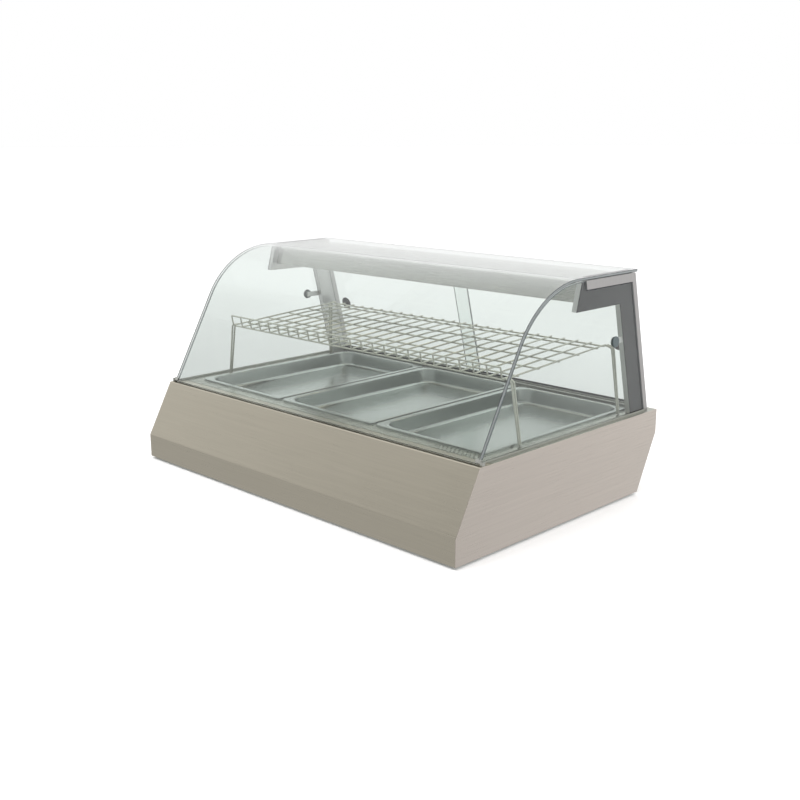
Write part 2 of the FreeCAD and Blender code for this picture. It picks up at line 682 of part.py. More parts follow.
def fan_rotor(side, x):
    """A hub with seven pitched blades and the axle that turns in the frame's bush."""
    low = "well_floor - fan_depth"
    parts = [
        cylinder(f"RotorHub{side + 1}", (x, "fan_y", f"{low} + 5.5"), "16", "fan_depth - 8"),
        cylinder(f"RotorAxle{side + 1}", (x, "fan_y", f"{low} + 0.5"), "fan_axle", "8"),
    ]
    blades, blade_angle = 7, 38
    for blade in range(blades):
        vane = doc.addObject("Part::Box", f"Vane{side + 1}{blade}")
        bind(vane, Length="fan_bore - 3 - 14", Width="20", Height="1.6")
        turn = 360 / blades * blade
        spin = Rotation(Vector(0, 0, 1), turn).multiply(Rotation(Vector(1, 0, 0), blade_angle))
        vane.Placement = Placement(Vector(), spin)
        offset = spin.multVec(Vector(14, -10, -0.8))
        bind(vane, Placement__Base__x=f"{x} + ({offset.x})",
             Placement__Base__y=f"fan_y - origin_y + ({offset.y})",
             Placement__Base__z=f"{low} + 5.5 + (fan_depth - 8) / 2 + ({offset.z})")
        parts.append(vane)
    return join(f"FanRotor{side + 1}", parts)


def pane_corners(offset, foot):
    """Front and roof of a line that runs offset inside the bent pane, from the height of its foot."""
    straight = f"glass_foot_y + (({foot}) - top) / tan(glass_lean) + ({offset}) / sin(glass_lean)"
    corner = f"roof_corner + ({offset}) * tan(glass_lean / 2)"
    return [(straight, foot), (corner, f"roof_top - ({offset})", f"glass_radius - ({offset})")]


def bent_glass():
    """The bent pane and the corner shoes and pins that it tilts forward on."""
    run = "(pivot_run - pane_below)"
    foot_out = (f"glass_foot_y + {run} * cos(glass_lean)", f"top + {run} * sin(glass_lean)")
    foot_in = (f"{foot_out[0]} + glass_thickness * sin(glass_lean)",
               f"{foot_out[1]} - glass_thickness * cos(glass_lean)")
    outer = pane_corners("0", "top")[1]
    inner = pane_corners("glass_thickness", "top")[1]
    pane = extrusion("BentPane", [
        foot_out,
        outer,
        ("roof_rear", "roof_top"),
        ("roof_rear", "roof_top - glass_thickness"),
        inner,
        foot_in,
    ], "0 - glass_half", "glass_half")
    node("front_glass", pane)

    clamp_out = "glass_half + clamp_end"
    knuckle = cylinder("ClampKnuckle", (f"{clamp_out} - clamp_width", "pivot_y", "pivot_z"),
                       "knuckle", "clamp_width", "x")
    cheeks = doc.addObject("Part::Box", "ClampCheeks")
    bind(cheeks, Length="clamp_width", Width="2 * knuckle", Height="clamp_height")
    place(cheeks, f"{clamp_out} - clamp_width", "pivot_y - knuckle * sin(glass_lean)",
          "pivot_z + knuckle * cos(glass_lean)", (1, 0, 0), "glass_lean - 90")
    bore = cylinder("ClampBore", ("glass_half + 0.5", "pivot_y", "pivot_z"),
                    "pin_radius + running_gap", "clamp_end", "x")
    clamp = cut("ClampRight", join("ClampBlock", [knuckle, cheeks]), [pane, bore])
    node("glass_clamps", group("GlassClamps", [clamp, mirrored("ClampLeft", clamp)]))

    pin = cylinder("PinRight", ("glass_half + 0.7", "pivot_y", "pivot_z"), "pin_radius",
                   "inner - glass_half - 0.7 - seam", "x")
    node("hinge_pins", group("HingePins", [pin, mirrored("PinLeft", pin)]))
    block = box("HingeBlock", (f"{clamp_out} + 0.4", "pivot_y - pin_radius - 2", "top"),
                ("inner - seam", "pivot_y + pin_radius + 2", "pivot_z + pin_radius + 1"))
    block = cut("HingeBlockRight", block, [pin])
    node("hinge_blocks", group("HingeBlocks", [block, mirrored("HingeBlockLeft", block)]))


def post_line(back, z):
    """The y of a line that leans as the posts do, a distance in front of their rear, at a height."""
    return f"frame_foot - ({back}) - (({z}) - top) * tan(door_lean)"


def sides():
    """Side panes in their channels, the frames that carry the roof, and the brackets."""
    tip = ("bar_front", "frame_top")
    heel = ("bar_set", "bar_low")
    frame = body("FrameRight", y="0")
    pad(frame, outline(sketch(frame, "YZ_Plane", "frame_inner"), [
        tip,
        heel,
        (post_line("post_width", "bar_low"), "bar_low"),
        (post_line("post_width", "top"), "top"),
        (post_line("0", "top"), "top"),
        (post_line("0", "frame_top"), "frame_top"),
    ]), "frame_width")
    wall = "sheet / cos(door_lean)"
    pocket(frame, outline(sketch(frame, "YZ_Plane", "frame_inner + sheet"), [
        ("bar_front + sheet * 1.3", "frame_top - sheet"),
        ("bar_set + sheet * 0.7", "bar_low + sheet"),
        (post_line(f"post_width - {wall}", "bar_low + sheet"), "bar_low + sheet"),
        (post_line(f"post_width - {wall}", "top - 1"), "top - 1"),
        (post_line(wall, "top - 1"), "top - 1"),
        (post_line(wall, "frame_top - sheet"), "frame_top - sheet"),
    ]), "frame_width - 2 * sheet")
    node("frame_right", frame)
    node("frame_left", mirrored("FrameLeft", frame))

    ell = [
        ("bracket_front", "bracket_low"),
        (f"bracket_front + bracket_tilt", "metal_top"),
        ("bar_front + (frame_top - metal_top) * 4.5 / bar_thickness", "metal_top"),
        heel,
        (post_line("post_width", "bar_low"), "bar_low"),
        (post_line("post_width", "top"), "top"),
        ("bracket_foot", "top"),
        (post_line("post_width + bracket_post", "bracket_low"), "bracket_low"),
    ]
    bracket = body("BracketRight", y="0")
    solid = pad(bracket, outline(sketch(bracket, "YZ_Plane", "frame_inner"), ell),
                "bracket_outer - frame_inner")
    hollow(bracket, solid, "sheet", [(1, 0, 0)])
    reach = post_line("post_width + bracket_post - 2", "fixing_z")
    pad(bracket, rectangle(sketch(bracket, "YZ_Plane", "bracket_outer - 2"),
                           ("fixing_y - fixing_ear", "fixing_z - fixing_ear"), (reach, "fixing_z + fixing_ear")), "2")
    node("bracket_right", bracket)
    node("bracket_left", mirrored("BracketLeft", bracket))
    cover = extrusion("CoverRight", ell, "bracket_outer", "cover_outer")
    node("bracket_covers", group("BracketCovers", [cover, mirrored("CoverLeft", cover)]))

    inset = "glass_thickness + side_gap"
    front = pane_corners(inset, "seat_floor")
    pane = extrusion("SidePane", [
        front[0],
        front[1],
        ("bar_front - 1.5", "metal_top"),
        ("bar_set - 1.5", "bar_low - 1"),
        (post_line("post_width + 1", "bar_low - 1"), "bar_low - 1"),
        (post_line("post_width + 1", "seat_floor"), "seat_floor"),
    ], "glass_inner", "glass_half")
    shank = "fixing_radius - 7"
    spot = ("bracket_outer", "fixing_y", "fixing_z")
    hole = cylinder("FixingHole", spot, shank, "20", "x")
    pane = cut("SideGlassRight", pane, [hole])
    node("side_glass_right", pane)
    node("side_glass_left", mirrored("SideGlassLeft", pane))
    washer = cylinder("FixingWasher", spot, "fixing_radius - 2", "glass_inner - bracket_outer", "x")
    stem = cylinder("FixingStem", spot, shank, "glass_half - bracket_outer + 1", "x")
    head = cylinder("FixingHead", ("glass_half", "fixing_y", "fixing_z"), "fixing_radius", "3", "x")
    fixing = join("FixingRight", [washer, stem, head])
    node("glass_fixings", group("GlassFixings", [fixing, mirrored("FixingLeft", fixing)]))

    start = "glass_foot_y + 20"
    finish = post_line("post_width + 1", "top")
    low_x, high_x = "glass_inner - seat_wall", "glass_half + seat_wall"
    channel = box("SeatBlock", (low_x, start, "top"), (high_x, finish, "top + seat_height"))
    slot = box("SeatSlot", ("glass_inner", f"{start} - 1", "seat_floor"),
               ("glass_half", f"{finish} + 1", "top + seat_height + 1"))
    notch = box("SeatNotch", (f"{low_x} - 1", "bracket_foot - 4", "top - 1"),
                ("glass_inner", f"{finish} + 1", "top + seat_height + 1"))
    seat = cut("SeatRight", channel, [slot, notch])
    node("glass_seats", group("GlassSeats", [seat, mirrored("SeatLeft", seat)]))

    strip = box("RoofPad", ("frame_inner + 4", "bar_front + 8", "frame_top"),
                ("glass_half - 4", "roof_rear - 18", "roof_top - glass_thickness"))
    node("roof_pads", group("RoofPads", [strip, mirrored("RoofPadLeft", strip)]))


def canopy():
    """The lamp trough between the brackets, open underneath."""
    hood = body("Canopy", y="0")
    solid = pad(hood, outline(sketch(hood, "YZ_Plane", "0 - canopy_half"), [
        ("canopy_front", "canopy_low"),
        ("canopy_front + canopy_tilt", "canopy_top"),
        ("canopy_rear", "canopy_top"),
        ("canopy_rear", "canopy_low"),
    ]), "2 * canopy_half")
    hollow(hood, solid, "sheet", [(0, 0, -1)])
    pad(hood, rectangle(sketch(hood, "YZ_Plane", "0 - canopy_half"), ("canopy_front + 1", "canopy_low"),
                        ("canopy_front + flange", "canopy_low + sheet")), "2 * canopy_half")
    node("canopy", hood)

    roof = "canopy_top - sheet"
    node("reflector", extrusion("Reflector", [
        ("lamp_y - 50", "lamp_z - 14"),
        ("lamp_y - 34", roof),
        ("lamp_y + 34", roof),
        ("lamp_y + 50", "lamp_z - 14"),
        ("lamp_y + 49", "lamp_z - 14"),
        ("lamp_y + 33.2", f"{roof} - 1"),
        ("lamp_y - 33.2", f"{roof} - 1"),
        ("lamp_y - 49", "lamp_z - 14"),
    ], "0 - lamp_length / 2 - 22", "lamp_length / 2 + 22"))
    cap = 12
    tube = cylinder("LampGlass", ("0 - lamp_length / 2 + 2", "lamp_y", "lamp_z"), "lamp_radius - 0.5",
                    "lamp_length - 4", "x")
    caps = [cylinder(f"LampCap{i}", (f"{x}", "lamp_y", "lamp_z"), "lamp_radius", cap, "x")
            for i, x in enumerate(("0 - lamp_length / 2", f"lamp_length / 2 - {cap}"))]
    node("lamp_tube", join("LampTube", [tube] + caps))
    holder = box("LampHolder", ("lamp_length / 2", "lamp_y - 13", "lamp_z - 17"),
                 ("lamp_length / 2 + 14", "lamp_y + 13", f"{roof} - 1"))
    node("lamp_holders", group("LampHolders", [holder, mirrored("LampHolderLeft", holder)]))


def doors():
    """Two panes that slide past each other in leaning rails, behind the pans."""
    track = ["0 - rail_width", "0 - 2 * rail_wall - rail_groove", "0 - rail_wall"]
    edges = []
    for low in track:
        edges += [low, f"{low} + rail_wall"]

    def comb(base, tip):
        """Floor and three walls, from the first wall's inner foot round to the last wall's."""
        points = []
        for i, across in enumerate(edges):
            pair = [base, tip] if i % 2 == 0 else [tip, base]
            points += [leaning(across, level) for level in pair]
        return points[1:-1]

    lip = "rail_floor + rail_lip"
    lower = comb("rail_floor", lip)
    front_foot = post_line("rail_width / cos(door_lean)", "top")
    node("door_rail_bottom", extrusion("RailBottom", lower + [
        (post_line("0", "top"), "top"),
        (front_foot, "top"),
    ], "0 - canopy_half", "canopy_half"))
    upper = comb("top_rail_base", "top_rail_base - top_rail_depth")
    crown = "top_rail_base + rail_wall"
    node("door_rail_top", extrusion("RailTop", upper + [
        leaning("0", crown),
        leaning("0 - rail_width", crown),
    ], "0 - canopy_half", "canopy_half"))

    half_glass = "door_glass / 2"
    for side, middle in ((-1, "front_track"), (1, "rear_track")):
        name = "left" if side < 0 else "right"
        outer = "canopy_half - seam"
        inner_edge = f"{outer} - door_width"
        span = (f"0 - ({outer})", f"0 - ({inner_edge})") if side < 0 else (inner_edge, outer)
        pane = leaning_box("DoorPane" + name, (span[0], f"{middle} - {half_glass}", "door_foot"),
                           (span[1], f"{middle} + {half_glass}", "door_foot + door_height"))
        x = f"{side} * ({outer} - pull_inset)"
        hole = leaning_cylinder("PullHole" + name, x, f"{middle} - 5", "pull_height", "pull_radius - 4", 10)
        node("door_" + name, cut("Door" + name, pane, [hole]))
        flange = leaning_cylinder("PullFlange" + name, x, f"{middle} + {half_glass}", "pull_height",
                                  "pull_radius", "2")
        cup = leaning_cylinder("PullCup" + name, x, f"{middle} - {half_glass} - 1", "pull_height",
                               "pull_radius - 4", "door_glass + 2")
        dish = leaning_cylinder("PullDish" + name, x, f"{middle} - {half_glass} + 0.5", "pull_height",
                                "pull_radius - 5.5", "12")
        node("door_pull_" + name, cut("DoorPull" + name, join("PullBlank" + name, [flange, cup]), [dish]))
        runner = leaning_box("RunnerBlock" + name, (span[0], f"{middle} - runner_width / 2", "rail_floor + 0.4"),
                             (span[1], f"{middle} + runner_width / 2", "rail_floor + 0.4 + runner_height"))
        node("door_runner_" + name, cut("DoorRunner" + name, runner, [pane]))


def pans():
    """Three pans, each a drawn basin under a flat rim whose edge is turned down to the deck."""
    for i, name in enumerate(("left", "middle", "right")):
        pan = body("Pan" + name, x=f"{i - 1} * pan_pitch", y="pan_front + pan_length / 2",
                   z="top + pan_lip")
        half_x, half_y = "pan_width / 2", "pan_length / 2"
        pad(pan, rectangle(sketch(pan, "XY_Plane"), (f"0 - {half_x}", f"0 - {half_y}"),
                           (half_x, half_y), "rim_corner"), "pan_wall")
        edge = rectangle(sketch(pan, "XY_Plane"), (f"0 - {half_x}", f"0 - {half_y}"), (half_x, half_y),
                         "rim_corner")
        rectangle(edge, (f"pan_wall - {half_x}", f"pan_wall - {half_y}"),
                  (f"{half_x} - pan_wall", f"{half_y} - pan_wall"), "rim_corner - pan_wall")
        pad(pan, edge, "pan_lip").Reversed = True
        in_x, in_y = f"({half_x} - pan_rim)", f"({half_y} - pan_rim)"
        basin = pad(pan, rectangle(sketch(pan, "XY_Plane", "pan_wall"), (f"0 - {in_x}", f"0 - {in_y}"),
                                   (in_x, in_y), "pan_corner"), "pan_depth + pan_wall", "0 - pan_draft")
        basin.Reversed = True
        thin_x, thin_y = f"({in_x} - pan_wall)", f"({in_y} - pan_wall)"
        space = pocket(pan, rectangle(sketch(pan, "XY_Plane", "pan_wall"), (f"0 - {thin_x}", f"0 - {thin_y}"),
                                      (thin_x, thin_y), "pan_corner - pan_wall"), "pan_depth", "0 - pan_draft")
        space.Reversed = False
        node("pan_" + name, pan)


def shelf():
    """The welded wire shelf: its grid, the guard along its front and four hairpin legs."""
    pitch = "(2 * shelf_half / wire_bays)"
    grid = body("ShelfGrid", y="shelf_front", z="shelf_height", axis=(1, 0, 0), angle="shelf_slope")
    crossings = sketch(grid, "YZ_Plane", "0 - shelf_half - 1")
    stations = ["4"] + [f"cross_first + {i} * cross_pitch" for i in range(5)] + ["shelf_depth - 6"]
    for station in stations:
        circle(crossings, (station, "cross_low"), "wire_radius")
    pad(grid, crossings, "2 * (shelf_half + 1)")
    edge = sketch(grid, "XZ_Plane", "0 - shelf_depth")
    wire = pad(grid, circle(edge, ("0 - shelf_half", "0"), "wire_radius"), "shelf_depth")
    repeat(grid, wire, "X_Axis", pitch, "wire_bays + 1")
    node("shelf_grid", grid)

    guard = body("ShelfGuard", y="shelf_front - wire_radius - 0.2", z="shelf_height", axis=(1, 0, 0),
                 angle="guard_lean")
    rail = sketch(guard, "YZ_Plane", "0 - shelf_half - 1")
    pad(guard, circle(rail, ("0", "guard_height"), "wire_radius"), "2 * (shelf_half + 1)")
    post = pad(guard, circle(sketch(guard, "XY_Plane", "-1"), ("0 - shelf_half", "0"), "wire_radius - 0.2"),
               "guard_height + 1")
    repeat(guard, post, "X_Axis", pitch, "wire_bays + 1")
    node("shelf_guard", guard)

    legs = []
    rows = (("leg_front_foot", "leg_front_top", "leg_front_x"),
            ("leg_rear_foot", "shelf_front + shelf_depth - leg_rear_inset", "leg_rear_x"))
    for row, (foot_y, top_y, top_x) in enumerate(rows):
        rise = f"(({top_y}) - shelf_front) * tan(shelf_slope)"
        level = f"shelf_height + {rise}"
        foot_z = "top + leg_wire + 0.3"
        inside = "shelf_half + wire_radius + leg_wire"
        points = [
            (inside, f"{top_y} - leg_spread", level),
            (top_x, f"{top_y} - leg_spread", f"{level} - leg_drop"),
            ("leg_foot_x", f"{foot_y} - leg_toe", foot_z),
            ("leg_foot_x", f"{foot_y} + leg_toe", foot_z),
            (top_x, f"{top_y} + leg_spread", f"{level} - leg_drop"),
            (inside, f"{top_y} + leg_spread", level),
        ]
        leg = bent_wire(f"LegRight{row}", points, "leg_bend", "leg_wire")
        legs += [leg, mirrored(f"LegLeft{row}", leg)]
    node("shelf_legs", group("ShelfLegs", legs))


def controls():
    """What is switched and turned at the rear, and what it works inside the cabinet."""
    face = "cabinet_depth"
    inside = "cabinet_depth - sheet"
    shaft = cylinder("Shaft", ("knob_x", f"{inside} - 20", "strip_z"), "shaft_radius",
                     "20 + sheet + knob_reach - 4", "y")
    node("thermostat_shaft", shaft)
    case = box("ThermostatCase", ("knob_x - 21", f"{inside} - 30", "strip_z - 20"),
               ("knob_x + 21", inside, "strip_z + 20"))
    journal = cylinder("Journal", ("knob_x", f"{inside} - 21", "strip_z"), "shaft_radius + running_gap",
                       "30", "y")
    node("thermostat_body", cut("ThermostatBody", case, [journal]))
    skirt = cylinder("KnobSkirt", ("knob_x", f"{face} + 1", "strip_z"), "knob_radius", "4", "y")
    grip = cylinder("KnobGrip", ("knob_x", f"{face} + 5", "strip_z"), "knob_radius - 5",
                    "knob_reach - 5", "y")
    bar = box("KnobBar", ("knob_x - 4", f"{face} + 5", "strip_z - knob_radius + 2"),
              ("knob_x + 4", f"{face} + knob_reach", "strip_z + knob_radius - 2"))
    knob = join("KnobBlank", [skirt, grip, bar])
    node("thermostat_knob", cut("ThermostatKnob", knob, [shaft]))

    bodies = []
    for i, name in enumerate(("main", "lamp")):
        middle = f"(switch_x - {i} * switch_pitch)"
        half_w, half_h = "switch_width / 2", "switch_tall / 2"
        case = box(f"SwitchCase{i}", (f"{middle} - {half_w}", f"{face} - switch_deep", f"strip_z - {half_h}"),
                   (f"{middle} + {half_w}", face, f"strip_z + {half_h}"))
        bezel = box(f"SwitchBezel{i}", (f"{middle} - {half_w} - 2", face, f"strip_z - {half_h} - 2"),
                    (f"{middle} + {half_w} + 2", f"{face} + 2", f"strip_z + {half_h} + 2"))
        cavity = box(f"SwitchCavity{i}",
                     (f"{middle} - {half_w} + 1.6", f"{face} - 12", f"strip_z - {half_h} + 0.6"),
                     (f"{middle} + {half_w} - 1.6", f"{face} + 5", f"strip_z + {half_h} - 0.6"))
        socket = cylinder(f"SwitchSocket{i}", (f"{middle} - {half_w} + 0.6", face, "strip_z"),
                          "1.2 + running_gap", "switch_width - 1.2", "x")
        bodies.append(cut(f"SwitchBody{i}", join(f"SwitchShell{i}", [case, bezel]), [cavity, socket]))
        rocker = body("Rocker" + name, x=middle, y=face, z="strip_z", axis=(1, 0, 0), angle="9")
        tall = f"({half_h} - 2.2)"
        profile = sketch(rocker, "YZ_Plane", f"0 - {half_w} + 1.6 + rocker_gap")
        width = "switch_width - 3.2 - 2 * rocker_gap"
        pad(rocker, outline(profile, [("0 - 4", f"0 - {tall} + 2"), ("5", f"0 - {tall}"), ("3.2", "0"),
                                      ("5", tall), ("0 - 4", f"{tall} - 2")]), width)
        axle = sketch(rocker, "YZ_Plane", f"0 - {half_w} + 0.9")
        pad(rocker, circle(axle, ("0", "0"), "1.2"), "switch_width - 1.8")
        node(name + "_switch_rocker", rocker)
    node("switch_bodies", group("SwitchBodies", bodies))

    lens = [
        cylinder("PilotBody", ("pilot_x", f"{inside} - 20", "strip_z"), "pilot_radius - 0.3", "20 + sheet", "y"),
        cylinder("PilotBezel", ("pilot_x", face, "strip_z"), "pilot_radius + 2", "2", "y"),
        cylinder("PilotLens", ("pilot_x", face, "strip_z"), "pilot_radius - 1", "5", "y"),
    ]
    node("pilot_lamp", join("PilotLamp", lens))

    gland = join("GlandBlank", [
        gland_cylinder("GlandThread", "-12", "gland_radius", "12"),
        gland_cylinder("GlandNut", "0", "gland_radius + 4", "6"),
        gland_cylinder("GlandCap", "6", "gland_radius + 1", "10"),
    ])
    node("cable_gland", cut("CableGland", gland, [gland_cylinder("GlandBore", "-20", "cord_radius", "60")]))
    floor_top = "foot_gap + sheet"
    node("terminal_block", box("TerminalBlock", ("gland_x + 40", "560", floor_top),
                               ("gland_x + 100", "582", f"{floor_top} + 18")))
    node("lamp_ballast", box("LampBallast", ("gland_x + 40", "480", floor_top),
                             ("gland_x + 195", "521", f"{floor_top} + 28")))


def feet_and_screws():
    feet = []
    for spot, (x, y) in foot_places().items():
        pad_foot = cylinder("FootPad" + spot, (x, y, "0"), "foot_radius", "foot_gap")
        stud = cylinder("FootStud" + spot, (x, y, "foot_gap"), "screw_radius", "sheet + 8")
        feet.append(join("Foot" + spot, [pad_foot, stud]))
    node("feet", group("Feet", feet))
    heads = []
    for i in range(6):
        x = f"(half - 20) * (0 - 1 + {i} * 0.4)"
        heads.append(cylinder(f"ScrewHead{i}", (x, "cabinet_depth", "top - 8"), "screw_radius", "2", "y"))
    node("panel_screws", group("PanelScrews", heads))


def check_and_write():
    """Stops on any object that failed, then writes one file for each piece."""
    doc.recompute()
    failed = [o.Name for o in doc.Objects if "Invalid" in o.State or "Error" in o.State]
    if failed:
        raise RuntimeError("these objects failed: " + ", ".join(failed))
    for label, thing in nodes.items():
        shape = thing.Shape
        if shape.isNull() or not shape.isValid() or not shape.Solids:
            raise RuntimeError(label + " has no valid solid")
    os.makedirs("parts", exist_ok=True)
    for label, thing in nodes.items():
        thing.Shape.exportStep(os.path.join("parts", label + ".step"))
        print(f"{label:22s} solids {len(thing.Shape.Solids)}  volume {thing.Shape.Volume:12.0f} mm3")


doc = FreeCAD.newDocument("HotDisplay")
sheet = doc.addObject("Spreadsheet::Sheet", "Sizes")
for row, (alias, value, meaning) in enumerate(SIZES, 1):
    sheet.set(f"A{row}", alias)
    sheet.set(f"B{row}", str(value))
    sheet.set(f"C{row}", meaning)
    sheet.setAlias(f"B{row}", alias)
doc.recompute()

cabinet()
deck()
well()
bent_glass()
sides()
canopy()
doors()
pans()
shelf()
controls()
feet_and_screws()
check_and_write()
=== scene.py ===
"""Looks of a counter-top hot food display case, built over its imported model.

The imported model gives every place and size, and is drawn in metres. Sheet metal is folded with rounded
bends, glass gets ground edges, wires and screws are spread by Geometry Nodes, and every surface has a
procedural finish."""
import json
import math

import bmesh
import bpy
from mathutils import Matrix, Vector


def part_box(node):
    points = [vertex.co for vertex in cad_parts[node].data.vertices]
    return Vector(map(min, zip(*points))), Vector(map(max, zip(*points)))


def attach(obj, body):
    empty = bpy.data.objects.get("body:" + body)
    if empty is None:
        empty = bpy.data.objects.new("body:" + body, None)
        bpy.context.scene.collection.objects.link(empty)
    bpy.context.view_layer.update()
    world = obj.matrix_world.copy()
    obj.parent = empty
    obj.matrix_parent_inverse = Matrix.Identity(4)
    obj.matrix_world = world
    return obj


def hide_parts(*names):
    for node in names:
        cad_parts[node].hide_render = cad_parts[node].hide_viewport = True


bl_info = {
    "name": "Hot Food Display Case",
    "version": (1, 0, 0),
    "blender": (4, 5, 0),
    "location": "View3D > Sidebar > Display Case",
    "description": "Builds the finished pieces of a heated counter-top display case",
    "category": "Add Mesh",
}

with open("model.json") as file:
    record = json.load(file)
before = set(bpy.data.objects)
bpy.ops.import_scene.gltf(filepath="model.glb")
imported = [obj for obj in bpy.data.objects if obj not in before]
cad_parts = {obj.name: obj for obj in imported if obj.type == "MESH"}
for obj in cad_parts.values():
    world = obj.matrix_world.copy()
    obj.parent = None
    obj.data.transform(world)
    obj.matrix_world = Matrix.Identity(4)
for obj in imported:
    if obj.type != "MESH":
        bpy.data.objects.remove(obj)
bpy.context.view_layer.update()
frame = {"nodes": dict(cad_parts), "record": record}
NODES = frame["nodes"]
BODIES = frame["record"]["behaviour"]["bodies"]
MM = 0.001
WIRE_END = 2.4 * MM  # the narrowed end of a cut wire, and the spacing of the rings along it


def linear(code):
    """A colour written as six hexadecimal digits of sRGB, as linear numbers."""
    parts = [int(code[i:i + 2], 16) / 255 for i in (0, 2, 4)]
    return tuple(c / 12.92 if c <= 0.04045 else ((c + 0.055) / 1.055) ** 2.4 for c in parts)


def colour_property(name, description, code):
    return bpy.props.FloatVectorProperty(name=name, description=description, default=linear(code),
                                         subtype="COLOR", min=0, max=1)


def length_property(name, description, millimetres):
    return bpy.props.FloatProperty(name=name, description=description, default=millimetres * MM,
                                   unit="LENGTH", min=0)


class CaseFinishes(bpy.types.PropertyGroup):
    """Colours of the case."""
    panel: colour_property("Front panel", "Brushed stainless steel of the front and rear", "B9B3A4")
    side: colour_property("Side panels", "Brushed stainless steel of the sides", "D8CFC6")
    post: colour_property("Posts", "Stainless steel of the posts", "BAB8B7")
    bracket: colour_property("Brackets", "Stainless steel of the brackets", "D6D6D4")
    deck: colour_property("Deck", "Stainless steel around the pans", "ABADA3")
    hood: colour_property("Canopy", "Stainless steel of the canopy, the rails and the small parts", "BFC0BA")
    pan: colour_property("Pans", "Drawn stainless steel of the pans", "B4B9B5")
    wire: colour_property("Wires", "Plated wires of the shelf", "C6C6BA")
    glass: colour_property("Glass", "Tint of the panes", "F5F9F7")
    glass_edge: colour_property("Glass edges", "Ground edges of the panes", "A9AFAF")
    # painted shade: the arris colour is a dark grey painted on the panes' bevels for the light they turn away
    arris: colour_property("Glass arris shade", "Bevels along the edges of the panes", "3C4248")
    cover: colour_property("Bracket covers", "Satin dark grey covers", "101015")
    fixing: colour_property("Glass fixings", "Round heads that hold the side panes", "707B7D")
    plastic: colour_property("Black plastic", "Moulded knob, runners and pulls", "17181A")
    rubber: colour_property("Rubber", "Feet and strips", "1E1E1E")
    insulation: colour_property("Insulation", "Mineral wool", "B7A35C")
    pilot: colour_property("Pilot lamp", "Tinted lens", "D8401C")


class CaseSizes(bpy.types.PropertyGroup):
    """Sizes of the finishing details."""
    sheet: length_property("Sheet", "Thickness of the sheet steel", 1.5)
    fold: length_property("Fold radius", "Outside radius of the cabinet's folds", 3.5)
    glass: length_property("Pane", "Thickness of the bent pane", 6)
    bend: length_property("Bend", "Outside radius of the bent pane", 233)
    arris: length_property("Ground edge", "Bevel ground on the panes", 0.9)
    wire: length_property("Wire radius", "Wires of the shelf", 2)
    guard: length_property("Guard height", "Guard wire above the front of the shelf", 27)
    bays: bpy.props.IntProperty(name="Bays", description="Bays across the wire shelf", default=24, min=1)
    depth: length_property("Shelf depth", "Front to rear of the shelf's wires", 373)
    guard_lean: bpy.props.FloatProperty(name="Guard lean", description="Lean of the shelf's guard",
                                        default=math.radians(12), subtype="ANGLE", unit="ROTATION")
    slope: bpy.props.FloatProperty(name="Shelf slope", description="Rise of the shelf to the rear",
                                   default=math.radians(3.47), subtype="ANGLE", unit="ROTATION")
    door_lean: bpy.props.FloatProperty(name="Door lean", description="Lean of the doors and posts",
                                       default=math.radians(13.4), subtype="ANGLE", unit="ROTATION")


class CaseStudio(bpy.types.PropertyGroup):
    """Camera, floor and lamps."""
    eye: bpy.props.FloatVectorProperty(name="Camera", description="Place of the camera",
                                       default=(1.8880, -1.8694, 0.8590), subtype="TRANSLATION",
                                       unit="LENGTH")
    azimuth: bpy.props.FloatProperty(name="Azimuth", description="Turn of the camera about the vertical",
                                     default=math.radians(44.875), subtype="ANGLE", unit="ROTATION")
    elevation: bpy.props.FloatProperty(name="Elevation", description="Height of the view above level",
                                       default=math.radians(14.156), subtype="ANGLE", unit="ROTATION")
    roll: bpy.props.FloatProperty(name="Roll", description="Tilt of the horizon",
                                  default=math.radians(-0.236), subtype="ANGLE", unit="ROTATION")
    lens: bpy.props.FloatProperty(name="Lens", description="Focal length on a 36 mm sensor",
                                  default=48.56, min=1, subtype="DISTANCE_CAMERA")
    floor: colour_property("Floor", "Plain floor", "F8F8F8")
    key: bpy.props.FloatProperty(name="Key lamp", description="Power of the large soft lamp",
                                 default=60, min=0, subtype="POWER", unit="POWER")
    sky: bpy.props.FloatProperty(name="Surroundings", description="Brightness of the surroundings above",
                                 default=1.3, min=0)
    room: bpy.props.FloatProperty(name="Room", description="Brightness of the surroundings in front",
                                  default=0.47, min=0)
    floor_glow: bpy.props.FloatProperty(name="Mirrored floor", description="Brightness of the floor behind, "
                                        "as the steel and the glass show it", default=0.9, min=0)


def finishes():
    return bpy.context.scene.case_finishes


def sizes():
    return bpy.context.scene.case_sizes


# Materials ------------------------------------------------------------------------------------------

def add(tree, kind, settings=None, **sockets):
    """Adds a node; a socket is given a value or linked, and its name's spaces are underscores."""
    node = tree.nodes.new(kind)
    for key, value in (settings or {}).items():
        setattr(node, key, value)
    for key, value in sockets.items():
        socket = node.inputs[int(key[1:])] if key[0] == "_" else node.inputs[key.replace("_", " ")]
        if isinstance(value, bpy.types.NodeSocket):
            tree.links.new(value, socket)
        else:
            socket.default_value = value
    return node


def blank(name):
    material = bpy.data.materials.new(name)
    material.use_nodes = True
    material.node_tree.nodes.clear()
    return material, material.node_tree


def rgba(colour, factor=1.0):
    return tuple(min(1.0, c * factor) for c in colour) + (1.0,)


def noise(tree, place, feature, stretch=(1, 1, 1), detail=3.0, offset=0.0):
    """Noise whose features are about this many millimetres wide, and longer along a stretched axis."""
    scale = tuple(1000 / (feature * s) for s in stretch)
    spot = add(tree, "ShaderNodeMapping", Vector=place, Scale=scale, Location=(offset, offset, offset))
    return add(tree, "ShaderNodeTexNoise", Vector=spot.outputs[0], Scale=1.0, Detail=detail).outputs[0]


def between(tree, amount, low, high):
    """Turns the middle of a noise's range into a range of numbers."""
    return add(tree, "ShaderNodeMapRange", Value=amount, _1=0.3, _2=0.7, _3=low, _4=high).outputs[0]


